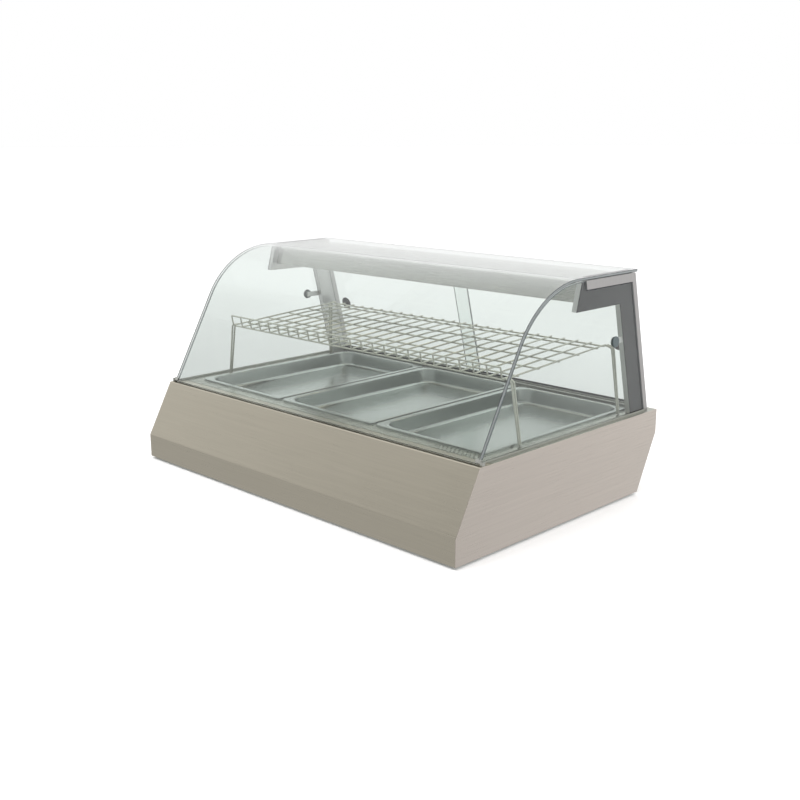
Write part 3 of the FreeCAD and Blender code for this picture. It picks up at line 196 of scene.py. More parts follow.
def mixed(tree, amount, first, second):
    node = add(tree, "ShaderNodeMix", {"data_type": "RGBA"}, _0=amount, _6=first, _7=second)
    return node.outputs[2]


def surface(name, colour, *, shade=0.85, blotch=60, grain=1.0, stretch=(1, 1, 1), rough=(0.35, 0.5),
            relief=0.02, **shader):
    """A finish whose colour and gloss wander slowly, under a fine grain that also gives it relief."""
    material, tree = blank(name)
    place = add(tree, "ShaderNodeTexCoord").outputs["Object"]
    broad = noise(tree, place, blotch, detail=2, offset=7.3)
    fine = noise(tree, place, grain, stretch)
    amount = add(tree, "ShaderNodeMath", {"operation": "MULTIPLY"}, _0=fine, _1=broad).outputs[0]
    tone = mixed(tree, between(tree, add(tree, "ShaderNodeMath", {"operation": "SQRT"}, _0=amount).outputs[0],
                               0.0, 1.0), rgba(colour, shade), rgba(colour))
    bump = add(tree, "ShaderNodeBump", Height=fine, Distance=relief * MM, Strength=1.0)
    shading = add(tree, "ShaderNodeBsdfPrincipled", Base_Color=tone, Normal=bump.outputs[0],
                  Roughness=between(tree, fine, *rough), **shader)
    add(tree, "ShaderNodeOutputMaterial", Surface=shading.outputs[0])
    return material


def brushed(name, colour, along, rough=(0.27, 0.4), streak=0.9):
    """Stainless steel ground in one direction: hairlines over wider, fainter bands and soft smears."""
    material, tree = blank(name)
    place = add(tree, "ShaderNodeTexCoord").outputs["Object"]
    long_way = tuple(260 if axis == along else 1 for axis in "xyz")
    hair = noise(tree, place, 0.45, long_way, detail=4)
    bands = noise(tree, place, 5.0, tuple(60 if axis == along else 1 for axis in "xyz"), offset=3.1)
    smear = noise(tree, place, 120, detail=3, offset=11.0)
    lines = add(tree, "ShaderNodeMath", {"operation": "MULTIPLY_ADD"}, _0=bands, _1=0.5, _2=hair).outputs[0]
    lit = add(tree, "ShaderNodeMapRange", Value=lines, _1=0.45, _2=1.05, _3=0.0, _4=1.0).outputs[0]
    tone = mixed(tree, lit, rgba(colour, streak), rgba(colour, 1.04))
    gloss = add(tree, "ShaderNodeMath", {"operation": "MULTIPLY_ADD"}, _0=smear, _1=0.12,
                _2=between(tree, hair, rough[0] - 0.06, rough[1] - 0.06)).outputs[0]
    bump = add(tree, "ShaderNodeBump", Height=hair, Distance=0.004 * MM, Strength=0.6)
    shading = add(tree, "ShaderNodeBsdfPrincipled", Base_Color=tone, Normal=bump.outputs[0], Roughness=gloss,
                  Metallic=1.0)
    add(tree, "ShaderNodeOutputMaterial", Surface=shading.outputs[0])
    return material


def clear_glass(name, tint):
    """Clear glass that lets lamps through, with a trace of wiping marks in its gloss."""
    material, tree = blank(name)
    place = add(tree, "ShaderNodeTexCoord").outputs["Object"]
    wiped = noise(tree, place, 90, (3, 1, 1), detail=2)
    glass = add(tree, "ShaderNodeBsdfPrincipled", Base_Color=rgba(tint), IOR=1.5, Transmission_Weight=1.0,
                Roughness=between(tree, wiped, 0.0, 0.015))
    open_way = add(tree, "ShaderNodeBsdfTransparent", Color=rgba(tint))
    ray = add(tree, "ShaderNodeLightPath").outputs["Is Shadow Ray"]
    shading = add(tree, "ShaderNodeMixShader", _0=ray, _1=glass.outputs[0], _2=open_way.outputs[0])
    add(tree, "ShaderNodeOutputMaterial", Surface=shading.outputs[0])
    return material


def glowing(name, colour, strength):
    """The milky tube of a lamp, a little dimmer towards its ends."""
    material, tree = blank(name)
    place = add(tree, "ShaderNodeTexCoord").outputs["Object"]
    across = add(tree, "ShaderNodeSeparateXYZ", Vector=place).outputs[0]
    distance = add(tree, "ShaderNodeMath", {"operation": "ABSOLUTE"}, _0=across).outputs[0]
    fade = add(tree, "ShaderNodeMapRange", Value=distance, _1=0.38, _2=0.44, _3=strength, _4=strength * 0.5)
    shading = add(tree, "ShaderNodeBsdfPrincipled", Base_Color=rgba(colour), Roughness=0.35,
                  Emission_Color=rgba(colour), Emission_Strength=fade.outputs[0])
    add(tree, "ShaderNodeOutputMaterial", Surface=shading.outputs[0])
    return material


MATERIALS = {}


def make_materials():
    """The finishes that the pieces share."""
    f = finishes()
    MATERIALS.update({
        # stainless sheet ground in one direction: hairlines that draw every highlight out along them
        "panel": brushed("Panel Steel", f.panel, "x"),
        "panel_side": brushed("Side Panel Steel", f.side, "y"),
        "post": brushed("Post Steel", f.post, "z", rough=(0.34, 0.46)),
        "bracket": brushed("Bracket Steel", f.bracket, "z", rough=(0.34, 0.46)),
        "deck": brushed("Deck Steel", f.deck, "x", rough=(0.22, 0.34)),
        "hood": brushed("Canopy Steel", f.hood, "x", rough=(0.18, 0.3)),
        # stainless sheet drawn in a press: an even satin without direction
        "pan": surface("Pan Steel", f.pan, shade=0.97, blotch=160, grain=6.0, rough=(0.2, 0.25),
                       relief=0.0004, Metallic=1.0),
        # sheet left as rolled: duller, with cloudy patches
        "plain": surface("Mill Steel", f.hood, shade=0.8, blotch=50, grain=1.2, rough=(0.3, 0.5),
                         Metallic=1.0),
        # small parts cut on a lathe: tight bright highlights
        "bolt": surface("Turned Steel", f.hood, shade=0.9, blotch=6, grain=0.3, rough=(0.2, 0.34),
                        relief=0.006, Metallic=1.0),
        # drawn wire under bright plating: thin highlights along each wire
        "wire": surface("Plated Wire", f.wire, shade=0.88, blotch=30, grain=0.8, rough=(0.2, 0.36),
                        relief=0.01, Metallic=0.85),
        # float glass, its ground edges paler; its arrises get an opaque dark grey, painted shade that stands
        # for the light they turn away
        "glass": clear_glass("Clear Glass", f.glass),
        "edge": surface("Ground Glass Edge", f.glass_edge, shade=0.85, blotch=25, grain=0.5,
                        rough=(0.12, 0.3), relief=0.004, Transmission_Weight=0.25, IOR=1.5),
        # painted shade: an opaque dark grey on the bevels of every pane, standing for the dark look of the
        # light they turn away
        "arris": surface("Glass Arris Painted Shade", f.arris, shade=0.8, blotch=30, grain=0.5, rough=(0.1, 0.25),
                         relief=0.002, IOR=1.5),
        # painted covers and fixings: soft highlights over a fine skin
        "cover": surface("Satin Grey Cover", f.cover, shade=0.92, blotch=40, grain=0.5, rough=(0.36, 0.5),
                         relief=0.01),
        "fixing": surface("Dark Fixing", f.fixing, shade=0.85, blotch=8, grain=0.4, rough=(0.28, 0.42),
                          relief=0.008, Metallic=0.6),
        # extruded aluminium, anodised: faint lines along the extrusion
        "rail": brushed("Anodised Aluminium", f.hood, "x", rough=(0.3, 0.42), streak=0.94),
        # mouldings: eroded moulds leave a fine matt grain, polished ones a gloss
        "plastic": surface("Black Plastic", f.plastic, shade=0.8, blotch=20, grain=0.25, rough=(0.4, 0.56),
                           relief=0.02),
        "gloss": surface("Glossy Black Plastic", f.plastic, shade=0.9, blotch=10, grain=0.6,
                         rough=(0.12, 0.22), relief=0.004),
        "rubber": surface("Rubber", f.rubber, shade=0.75, blotch=12, grain=0.6, rough=(0.6, 0.8),
                          relief=0.03),
        "white": surface("White Plastic", linear("E4E2DC"), shade=0.94, blotch=20, grain=0.5,
                         rough=(0.35, 0.5), relief=0.01),
        # spun fibre, with a deep soft nap
        "wool": surface("Mineral Wool", f.insulation, shade=0.6, blotch=30, grain=1.5, rough=(0.9, 1.0),
                        relief=0.8),
        # steel sheath, browned by heat
        "heater": surface("Heater Sheath", linear("5E564E"), shade=0.7, blotch=30, grain=0.6,
                          rough=(0.35, 0.6), Metallic=0.9),
        "pilot": surface("Pilot Lens", f.pilot, shade=0.85, blotch=5, grain=1.0, rough=(0.08, 0.16),
                         relief=0.01, Transmission_Weight=0.3),
        "lamp": glowing("Lamp Tube", linear("FFF6E4"), 1.6),
    })


# Meshes ---------------------------------------------------------------------------------------------

def smooth_by_angle(mesh, degrees=35):
    """Smooths a mesh except over sharper edges and where its material changes."""
    bm = bmesh.new()
    bm.from_mesh(mesh)
    for face in bm.faces:
        face.smooth = True
    for edge in bm.edges:
        sides = {face.material_index for face in edge.link_faces}
        edge.smooth = (len(edge.link_faces) == 2 and len(sides) == 1
                       and edge.calc_face_angle(4) < math.radians(degrees))
    bm.to_mesh(mesh)
    bm.free()
    return mesh


def weighted(thing):
    """Lets the broad faces of a piece decide its shading, so that they look flat up to their edges."""
    modifier = thing.modifiers.new("Shading", "WEIGHTED_NORMAL")
    modifier.keep_sharp = True
    modifier.weight = 60
    return applied(thing)


def as_object(name, bm, *materials):
    mesh = bpy.data.meshes.new(name)
    bm.to_mesh(mesh)
    bm.free()
    for material in materials:
        mesh.materials.append(MATERIALS[material])
    thing = bpy.data.objects.new(name, mesh)
    bpy.context.scene.collection.objects.link(thing)
    return thing


def applied(thing):
    """Turns an object with modifiers into a plain mesh."""
    graph = bpy.context.evaluated_depsgraph_get()
    mesh = bpy.data.meshes.new_from_object(thing.evaluated_get(graph), preserve_all_data_layers=True,
                                           depsgraph=graph)
    thing.modifiers.clear()
    thing.data = mesh
    return thing


def bevelled(thing, width, segments=2, angle=35, material=-1):
    """Rounds the sharp edges of a piece."""
    modifier = thing.modifiers.new("Bevel", "BEVEL")
    modifier.width = width * MM
    modifier.segments = segments
    modifier.limit_method = "ANGLE"
    modifier.angle_limit = math.radians(angle)
    modifier.use_clamp_overlap = True
    modifier.material = material
    applied(thing)
    smooth_by_angle(thing.data)
    return thing


def copy_of(node, *materials):
    """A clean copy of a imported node: its triangles merged into whole faces."""
    bm = bmesh.new()
    bm.from_mesh(NODES[node].data)
    bmesh.ops.remove_doubles(bm, verts=bm.verts, dist=0.002 * MM)
    bmesh.ops.dissolve_limit(bm, angle_limit=math.radians(0.5), verts=bm.verts, edges=bm.edges)
    for face in bm.faces:
        face.material_index = 0
    return as_object(node + "_finished", bm, *materials)


def joined(name, things):
    """Several objects as one mesh, with their materials."""
    materials = []
    bm = bmesh.new()
    for thing in things:
        places = []
        for material in thing.data.materials:
            if material not in materials:
                materials.append(material)
            places.append(materials.index(material))
        for face in thing.data.polygons:
            face.material_index = places[min(face.material_index, len(places) - 1)] if places else 0
        bm.from_mesh(thing.data)
        bpy.data.objects.remove(thing)
    mesh = bpy.data.meshes.new(name)
    bm.to_mesh(mesh)
    bm.free()
    for material in materials:
        mesh.materials.append(material)
    whole = bpy.data.objects.new(name, mesh)
    bpy.context.scene.collection.objects.link(whole)
    return whole


def body_of(node):
    return next(body for body, members in BODIES.items() if node in members)


def stand_in(thing, *nodes, flat_shading=True):
    """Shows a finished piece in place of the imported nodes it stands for."""
    if flat_shading:
        weighted(thing)
    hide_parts(*nodes)
    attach(thing, body_of(nodes[0]))
    return thing


def soften(node, material, width=0.5, segments=2):
    """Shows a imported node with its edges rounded."""
    return stand_in(bevelled(copy_of(node, material), width, segments), node)


def at(x, y, z):
    return Vector((x, y, z))


def rounded(points, radii, step=6):
    """A path with its corners rounded, a point every few degrees."""
    path = [points[0]]
    for before, corner, after, radius in zip(points, points[1:], points[2:], radii):
        back, onward = (before - corner).normalized(), (after - corner).normalized()
        half = back.angle(onward) / 2
        centre = corner + (back + onward).normalized() * (radius / math.sin(half))
        enter = corner + back * (radius / math.tan(half))
        leave = corner + onward * (radius / math.tan(half))
        count = max(2, math.ceil(math.degrees(math.pi - 2 * half) / step))
        first, last = (enter - centre).normalized(), (leave - centre).normalized()
        path += [centre + first.slerp(last, i / count) * radius for i in range(count + 1)]
    return path + [points[-1]]


def sideways(path, distance):
    """A path in the plane of y and z, moved to its left."""
    moved = []
    for i, point in enumerate(path):
        before = (point - path[i - 1]).normalized() if i else None
        after = (path[i + 1] - point).normalized() if i + 1 < len(path) else before
        before = before or after
        first, second = at(0, -before.z, before.y), at(0, -after.z, after.y)
        normal = (first + second).normalized()
        moved.append(point + normal * (distance / normal.dot(first)))
    return moved


def folded(name, path, thickness, low, high, *materials):
    """Sheet that follows a path in y and z between two values of x. Its edges take the last material."""
    other = sideways(path, thickness)
    bm = bmesh.new()
    rows = [[bm.verts.new((x, p.y, p.z)) for p in line] for line in (path, other) for x in (low, high)]
    outer_low, outer_high, inner_low, inner_high = rows
    last = len(materials) - 1
    strips = ((outer_low, outer_high, 0), (inner_high, inner_low, 0),
              (inner_low, outer_low, last), (outer_high, inner_high, last))
    for first, second, material in strips:
        for i in range(len(path) - 1):
            face = bm.faces.new((first[i], first[i + 1], second[i + 1], second[i]))
            face.material_index = material
    for i in (0, -1):
        bm.faces.new((outer_low[i], outer_high[i], inner_high[i], inner_low[i])).material_index = last
    bmesh.ops.recalc_face_normals(bm, faces=bm.faces)
    return as_object(name, bm, *materials)


def turned(name, profile, centre, axis, material, segments=48, flutes=0, depth=0.0):
    """Spins a profile of (radius, height) in millimetres about an axis; flutes ripple its radius."""
    turn = at(0, 0, 1).rotation_difference(Vector(axis)).to_matrix()
    bm = bmesh.new()
    rings = []
    for radius, height in profile:
        if radius == 0:
            rings.append([bm.verts.new(centre + turn @ at(0, 0, height * MM))])
            continue
        ring = []
        for i in range(segments):
            angle = math.tau * i / segments
            reach = (radius - depth * (0.5 + 0.5 * math.cos(flutes * angle)) * bool(flutes)) * MM
            spot = at(reach * math.cos(angle), reach * math.sin(angle), height * MM)
            ring.append(bm.verts.new(centre + turn @ spot))
        rings.append(ring)
    for lower, upper in zip(rings, rings[1:]):
        for i in range(segments):
            j = (i + 1) % segments
            corners = [lower[i % len(lower)], lower[j % len(lower)], upper[j % len(upper)],
                       upper[i % len(upper)]]
            bm.faces.new(list(dict.fromkeys(corners)))
    bmesh.ops.recalc_face_normals(bm, faces=bm.faces)
    thing = as_object(name, bm, material)
    smooth_by_angle(thing.data, 30)
    return thing


def by_direction(thing, normal, face_material=0, edge_material=2):
    """Gives a plate's broad faces one material and its edges the other."""
    for face in thing.data.polygons:
        broad = abs(face.normal.dot(normal)) > 0.9
        face.material_index = face_material if broad else edge_material
    return thing


# Geometry Nodes -------------------------------------------------------------------------------------

def tree_of(name, inputs):
    """A new Geometry Nodes tree with named inputs; returns it with its input node."""
    tree = bpy.data.node_groups.new(name, "GeometryNodeTree")
    for label, kind in inputs:
        tree.interface.new_socket(label, in_out="INPUT", socket_type="NodeSocket" + kind)
    tree.interface.new_socket("Geometry", in_out="OUTPUT", socket_type="NodeSocketGeometry")
    return tree, add(tree, "NodeGroupInput")


def end_tree(tree, source, geometry):
    real = add(tree, "GeometryNodeRealizeInstances", Geometry=geometry)
    coated = add(tree, "GeometryNodeSetMaterial", Geometry=real.outputs[0],
                 Material=source.outputs["Material"])
    add(tree, "NodeGroupOutput", Geometry=coated.outputs[0])
    return tree


def wire_row_tree():
    """Straight round wires side by side, with rounded ends."""
    tree, source = tree_of("Wire Row", [("Start", "Vector"), ("Step", "Vector"), ("Run", "Vector"),
                                        ("Count", "Int"), ("Radius", "Float"), ("Material", "Material")])
    given = source.outputs
    line = add(tree, "GeometryNodeCurvePrimitiveLine", Start=(0, 0, 0), End=given["Run"])
    fine = add(tree, "GeometryNodeResampleCurve", {"mode": "LENGTH"}, Curve=line.outputs[0], Length=WIRE_END)
    along = add(tree, "GeometryNodeSplineParameter").outputs["Length"]
    whole = add(tree, "GeometryNodeSplineLength").outputs["Length"]
    rest = add(tree, "ShaderNodeMath", {"operation": "SUBTRACT"}, _0=whole, _1=along).outputs[0]
    near = add(tree, "ShaderNodeMath", {"operation": "MINIMUM"}, _0=along, _1=rest).outputs[0]
    plump = add(tree, "ShaderNodeMapRange", Value=near, _1=0.0, _2=WIRE_END, _3=0.55, _4=1.0).outputs[0]
    sized = add(tree, "ShaderNodeMath", {"operation": "MULTIPLY"}, _0=plump, _1=given["Radius"]).outputs[0]
    shaped = add(tree, "GeometryNodeSetCurveRadius", Curve=fine.outputs[0], Radius=sized)
    ring = add(tree, "GeometryNodeCurvePrimitiveCircle", Resolution=14, Radius=1.0)
    tube = add(tree, "GeometryNodeCurveToMesh", Curve=shaped.outputs[0], Profile_Curve=ring.outputs[0],
               Fill_Caps=True)
    if "Scale" in tube.inputs:
        tree.links.new(sized, tube.inputs["Scale"])
    smooth = add(tree, "GeometryNodeSetShadeSmooth", Geometry=tube.outputs[0])
    row = add(tree, "GeometryNodeMeshLine", {"mode": "OFFSET"}, Count=given["Count"],
              Start_Location=given["Start"], Offset=given["Step"])
    copies = add(tree, "GeometryNodeInstanceOnPoints", Points=row.outputs[0], Instance=smooth.outputs[0])
    return end_tree(tree, source, copies.outputs[0])


def copy_row_tree():
    """Copies of an object along a straight row."""
    tree, source = tree_of("Row Of Copies", [("Object", "Object"), ("Start", "Vector"), ("Step", "Vector"),
                                             ("Count", "Int"), ("Material", "Material")])
    given = source.outputs
    thing = add(tree, "GeometryNodeObjectInfo", Object=given["Object"])
    row = add(tree, "GeometryNodeMeshLine", {"mode": "OFFSET"}, Count=given["Count"],
              Start_Location=given["Start"], Offset=given["Step"])
    copies = add(tree, "GeometryNodeInstanceOnPoints", Points=row.outputs[0],
                 Instance=thing.outputs["Geometry"])
    return end_tree(tree, source, copies.outputs[0])


def spread(name, tree, **inputs):
    """Runs a tree with these inputs and returns the plain mesh it makes."""
    host = bpy.data.objects.new(name, bpy.data.meshes.new(name))
    bpy.context.scene.collection.objects.link(host)
    modifier = host.modifiers.new("Build", "NODES")
    modifier.node_group = tree
    for item in tree.interface.items_tree:
        if item.in_out == "INPUT":
            modifier[item.identifier] = inputs[item.name]
    return applied(host)


# Operators ------------------------------------------------------------------------------------------

def surroundings(studio):
    """A white studio: bright above and behind, and a dimmer room in front, which the steel mirrors."""
    world = bpy.data.worlds.new("Surroundings")
    world.use_nodes = True
    tree = world.node_tree
    tree.nodes.clear()
    way = add(tree, "ShaderNodeTexCoord").outputs["Generated"]
    axes = add(tree, "ShaderNodeSeparateXYZ", Vector=way).outputs
    back = add(tree, "ShaderNodeMapRange", {"interpolation_type": "SMOOTHSTEP"}, Value=axes[1],
               _1=-0.75, _2=0.3, _3=studio.room, _4=1.0).outputs[0]
    left = add(tree, "ShaderNodeMapRange", Value=axes[0], _1=-0.58, _2=-0.9, _3=0.0, _4=0.5).outputs[0]
    ahead = add(tree, "ShaderNodeMapRange", Value=axes[1], _1=-0.1, _2=0.1, _3=1.0, _4=0.0).outputs[0]
    lit = add(tree, "ShaderNodeMath", {"operation": "MULTIPLY_ADD"}, _0=left, _1=ahead, _2=back).outputs[0]
    up = add(tree, "ShaderNodeMapRange", {"interpolation_type": "SMOOTHSTEP"}, Value=axes[2],
             _1=0.35, _2=0.8, _3=0.0, _4=1.0).outputs[0]
    strength = add(tree, "ShaderNodeMix", {"data_type": "FLOAT"}, _0=up, _2=lit, _3=studio.sky).outputs[0]
    seen = add(tree, "ShaderNodeLightPath").outputs["Is Camera Ray"]
    shown = add(tree, "ShaderNodeMix", {"data_type": "FLOAT"}, _0=seen, _2=strength, _3=1.0).outputs[0]
    glow = add(tree, "ShaderNodeBackground", Color=(1, 1, 1, 1), Strength=shown)
    add(tree, "ShaderNodeOutputWorld", Surface=glow.outputs[0])
    return world


def studio_floor(studio):
    """A plain pale floor; the steel and the glass mirror it dimmer in front of the case and to its right."""
    material = surface("Studio Floor", studio.floor, shade=0.98, blotch=900, grain=40, rough=(0.7, 0.8),
                       relief=0.0)
    tree = material.node_tree
    output = next(node for node in tree.nodes if node.type == "OUTPUT_MATERIAL")
    lit = output.inputs[0].links[0].from_socket
    place = add(tree, "ShaderNodeTexCoord").outputs["Object"]
    axes = add(tree, "ShaderNodeSeparateXYZ", Vector=place).outputs
    front = add(tree, "ShaderNodeMapRange", Value=axes[1], _1=-0.4, _2=1.8, _3=0.75, _4=1.1).outputs[0]
    right = add(tree, "ShaderNodeMapRange", Value=axes[0], _1=0.4, _2=0.9, _3=1.0, _4=0.9).outputs[0]
    both = add(tree, "ShaderNodeMath", {"operation": "MULTIPLY"}, _0=front, _1=right).outputs[0]
    glow = add(tree, "ShaderNodeMath", {"operation": "MULTIPLY"}, _0=both, _1=studio.floor_glow).outputs[0]
    mirrored = add(tree, "ShaderNodeEmission", Strength=glow).outputs[0]
    seen = add(tree, "ShaderNodeLightPath").outputs["Is Camera Ray"]
    shading = add(tree, "ShaderNodeMixShader", _0=seen, _1=mirrored, _2=lit)
    tree.links.new(shading.outputs[0], output.inputs[0])
    return material


class CASE_OT_stage(bpy.types.Operator):
    """Sets up the camera, the pale floor and the soft lamps"""
    bl_idname = "display_case.stage"
    bl_label = "Stage"

    def execute(self, context):
        studio = context.scene.case_studio
        camera = bpy.data.objects.new("Camera", bpy.data.cameras.new("Camera"))
        camera.data.lens = studio.lens
        camera.data.sensor_width = 36
        camera.data.clip_end = 50
        turn = Matrix.Rotation(studio.azimuth, 4, "Z") @ Matrix.Rotation(
            math.pi / 2 - studio.elevation, 4, "X") @ Matrix.Rotation(studio.roll, 4, "Z")
        camera.matrix_world = Matrix.Translation(studio.eye) @ turn
        context.scene.collection.objects.link(camera)
        context.scene.camera = camera

        bm = bmesh.new()
        bmesh.ops.create_grid(bm, x_segments=1, y_segments=1, size=60)
        floor = as_object("Floor", bm)
        floor.data.materials.append(studio_floor(studio))
        floor.location.z = -0.0002

        context.scene.world = surroundings(studio)
        for name, place, size, power in (("Key Lamp", (-0.6, -1.2, 3.6), 3.0, 1.0),
                                         ("Fill Lamp", (3.2, -0.4, 2.6), 2.4, 0.5),
                                         ("Rear Lamp", (-0.5, 3.0, 3.0), 2.4, 0.6)):
            lamp = bpy.data.lights.new(name, "AREA")
            lamp.size = size
            lamp.energy = studio.key * power
            holder = bpy.data.objects.new(name, lamp)
            holder.location = place
            aim = Vector((0, 0, 0.25)) - Vector(place)
            holder.rotation_euler = aim.to_track_quat("-Z", "Y").to_euler()
            holder.visible_glossy = False
            holder.visible_transmission = False
            context.scene.collection.objects.link(holder)
        context.scene.view_settings.view_transform = "Standard"
        return {"FINISHED"}


class CASE_OT_cabinet(bpy.types.Operator):
    """Folds the front panel of the cabinet and rounds the edges of its other panels and its deck"""
    bl_idname = "display_case.cabinet"
    bl_label = "Cabinet"

    def execute(self, context):
        s = sizes()
        low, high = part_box("front_panel")
        kick, setback, flange = 59.5 * MM, 72.5 * MM, 15 * MM
        path = rounded([
            at(0, low.y, low.z),
            at(0, low.y, low.z + kick),
            at(0, low.y + setback, high.z),
            at(0, high.y, high.z),
            at(0, high.y, high.z - flange),
        ], [s.fold * 1.2, s.fold, s.fold * 0.6])
        front = folded("front_panel_folded", path, -s.sheet, low.x, high.x, "panel")
        stand_in(bevelled(front, 0.3), "front_panel")
        for name in ("side_panel_left", "side_panel_right"):
            soften(name, "panel_side", 0.5)
        soften("rear_panel", "panel", 0.35)
        soften("floor_panel", "plain", 0.35)
        for name in ("deck_front", "deck_rear", "deck_left", "deck_right"):
            soften(name, "deck", 0.3)
        return {"FINISHED"}


class CASE_OT_well(bpy.types.Operator):
    """Finishes the heated well, its elements, bars, insulation and fans"""
    bl_idname = "display_case.well"
    bl_label = "Heated Well"

    def execute(self, context):
        for name, material, width in (("well_tub", "plain", 0.4), ("pan_bars", "plain", 0.6),
                                      ("heating_elements", "heater", 0.5), ("insulation_mat", "wool", 3.0),
                                      ("fan_frames", "plastic", 0.8), ("fan_rotor_left", "plastic", 0.4),
                                      ("fan_rotor_right", "plastic", 0.4)):
            soften(name, material, width)
        return {"FINISHED"}


class CASE_OT_glass(bpy.types.Operator):
    """Bends the front pane, grinds the edges of all panes and adds what holds them"""
    bl_idname = "display_case.glass"
    bl_label = "Glass"

    def execute(self, context):
        s = sizes()
        low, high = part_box("front_glass")
        lean = math.radians(61)
        foot = at(0, low.y, low.z + s.glass * math.cos(lean))
        corner = at(0, foot.y + (high.z - foot.z) / math.tan(lean), high.z)
        path = rounded([foot, corner, at(0, high.y, high.z)], [s.bend], 1.5)
        # the bevels take the arris finish, a dark grey painted as shade
        pane = folded("front_glass_pane", path, -s.glass, low.x, high.x, "glass", "arris", "edge")
        stand_in(bevelled(pane, s.arris / MM, 2, material=1), "front_glass")
        for name in ("side_glass_left", "side_glass_right"):
            # the bevels take the arris finish, a dark grey painted as shade
            pane = by_direction(copy_of(name, "glass", "arris", "edge"), at(1, 0, 0))
            stand_in(bevelled(pane, s.arris / MM, material=1), name)
        for name, material, width in (("glass_clamps", "bolt", 0.3), ("hinge_pins", "bolt", 0.3),
                                      ("hinge_blocks", "bolt", 0.5), ("glass_seats", "rail", 0.3),
                                      ("roof_pads", "rubber", 0.3)):
            soften(name, material, width)

        heads = []
        low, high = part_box("glass_fixings")
        middle = (low + high) / 2
        for way in (-1, 1):
            outer = abs(high.x) * way
            profile = [(0, 0), (9.5, 0), (11.6, -0.25), (12.6, -0.9), (13, -1.8), (13, -2.6), (12.7, -3)]
            inner = [(6, -3), (6, -9.2), (11, -9.2), (11, -11), (10.6, -11.3), (0, -11.3)]
            heads.append(turned(f"fixing{way}", profile + inner, at(outer, middle.y, middle.z), (way, 0, 0),
                                "fixing"))
        stand_in(joined("glass_fixings_turned", heads), "glass_fixings")
        return {"FINISHED"}


class CASE_OT_frames(bpy.types.Operator):
    """Finishes the posts, the brackets and their dark covers"""
    bl_idname = "display_case.frames"
    bl_label = "Frames"

    def execute(self, context):
        for way in ("left", "right"):
            soften("frame_" + way, "post", 0.9, 3)
            soften("bracket_" + way, "bracket", 0.6, 3)
        soften("bracket_covers", "cover", 0.6, 3)
        return {"FINISHED"}


class CASE_OT_canopy(bpy.types.Operator):
    """Folds the lamp canopy and fits its reflector and lamp"""
    bl_idname = "display_case.canopy"
    bl_label = "Lamp Canopy"

    def execute(self, context):
        s = sizes()
        low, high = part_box("canopy")
        tilt, lip = 13.5 * MM, 15 * MM
        path = rounded([
            at(0, low.y + lip, low.z),
            at(0, low.y, low.z),
            at(0, low.y + tilt, high.z),
            at(0, high.y, high.z),
            at(0, high.y, low.z),
        ], [2.4 * MM, 4.5 * MM, 4.5 * MM])
        hood = folded("canopy_folded", path, -s.sheet, low.x, high.x, "hood")
        stand_in(bevelled(hood, 0.4), "canopy")
        soften("reflector", "rail", 0.2)
        soften("lamp_holders", "white", 1.2, 3)

        low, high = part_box("lamp_tube")
        middle, half = (low + high) / 2, (high.x - low.x) / 2 / MM
        glass = [(0, 8 - half), (11, 8 - half), (12.4, 10 - half), (12.4, half - 10), (11, half - 8),
                 (0, half - 8)]
        parts = [turned("tube", glass, middle, (1, 0, 0), "lamp", 40)]
        for way in (-1, 1):
            cap = [(0, half), (11.6, half), (12.7, half - 1), (13, half - 2.5), (13, half - 11),
                   (12.5, half - 12), (0, half - 12)]
            parts.append(turned(f"cap{way}", cap, middle, (way, 0, 0), "bolt", 40))
        stand_in(joined("lamp_tube_finished", parts), "lamp_tube")
        return {"FINISHED"}


class CASE_OT_doors(bpy.types.Operator):
    """Finishes the rear doors, their rails, runners and finger pulls"""
    bl_idname = "display_case.doors"
    bl_label = "Rear Doors"

    def execute(self, context):
        s = sizes()
        across = at(0, math.cos(s.door_lean), math.sin(s.door_lean))
        for way in ("left", "right"):
            # the bevels take the arris finish, a dark grey painted as shade
            pane = by_direction(copy_of("door_" + way, "glass", "arris", "edge"), across)
            stand_in(bevelled(pane, 0.7, material=1), "door_" + way)
            soften("door_pull_" + way, "plastic", 0.6, 3)
            soften("door_runner_" + way, "plastic", 0.6)
        soften("door_rail_top", "rail", 0.35)
        soften("door_rail_bottom", "rail", 0.35)
        return {"FINISHED"}


def pan_ring(bm, half_x, half_y, corner, z, per_corner=7):
    """A ring of points on a rounded rectangle."""
    ring = []
    for quarter, (sx, sy) in enumerate(((1, 1), (-1, 1), (-1, -1), (1, -1))):
        for i in range(per_corner + 1):
            angle = math.pi / 2 * (quarter + i / per_corner)
            ring.append(bm.verts.new((sx * (half_x - corner) + corner * math.cos(angle),
                                      sy * (half_y - corner) + corner * math.sin(angle), z)))
    return ring


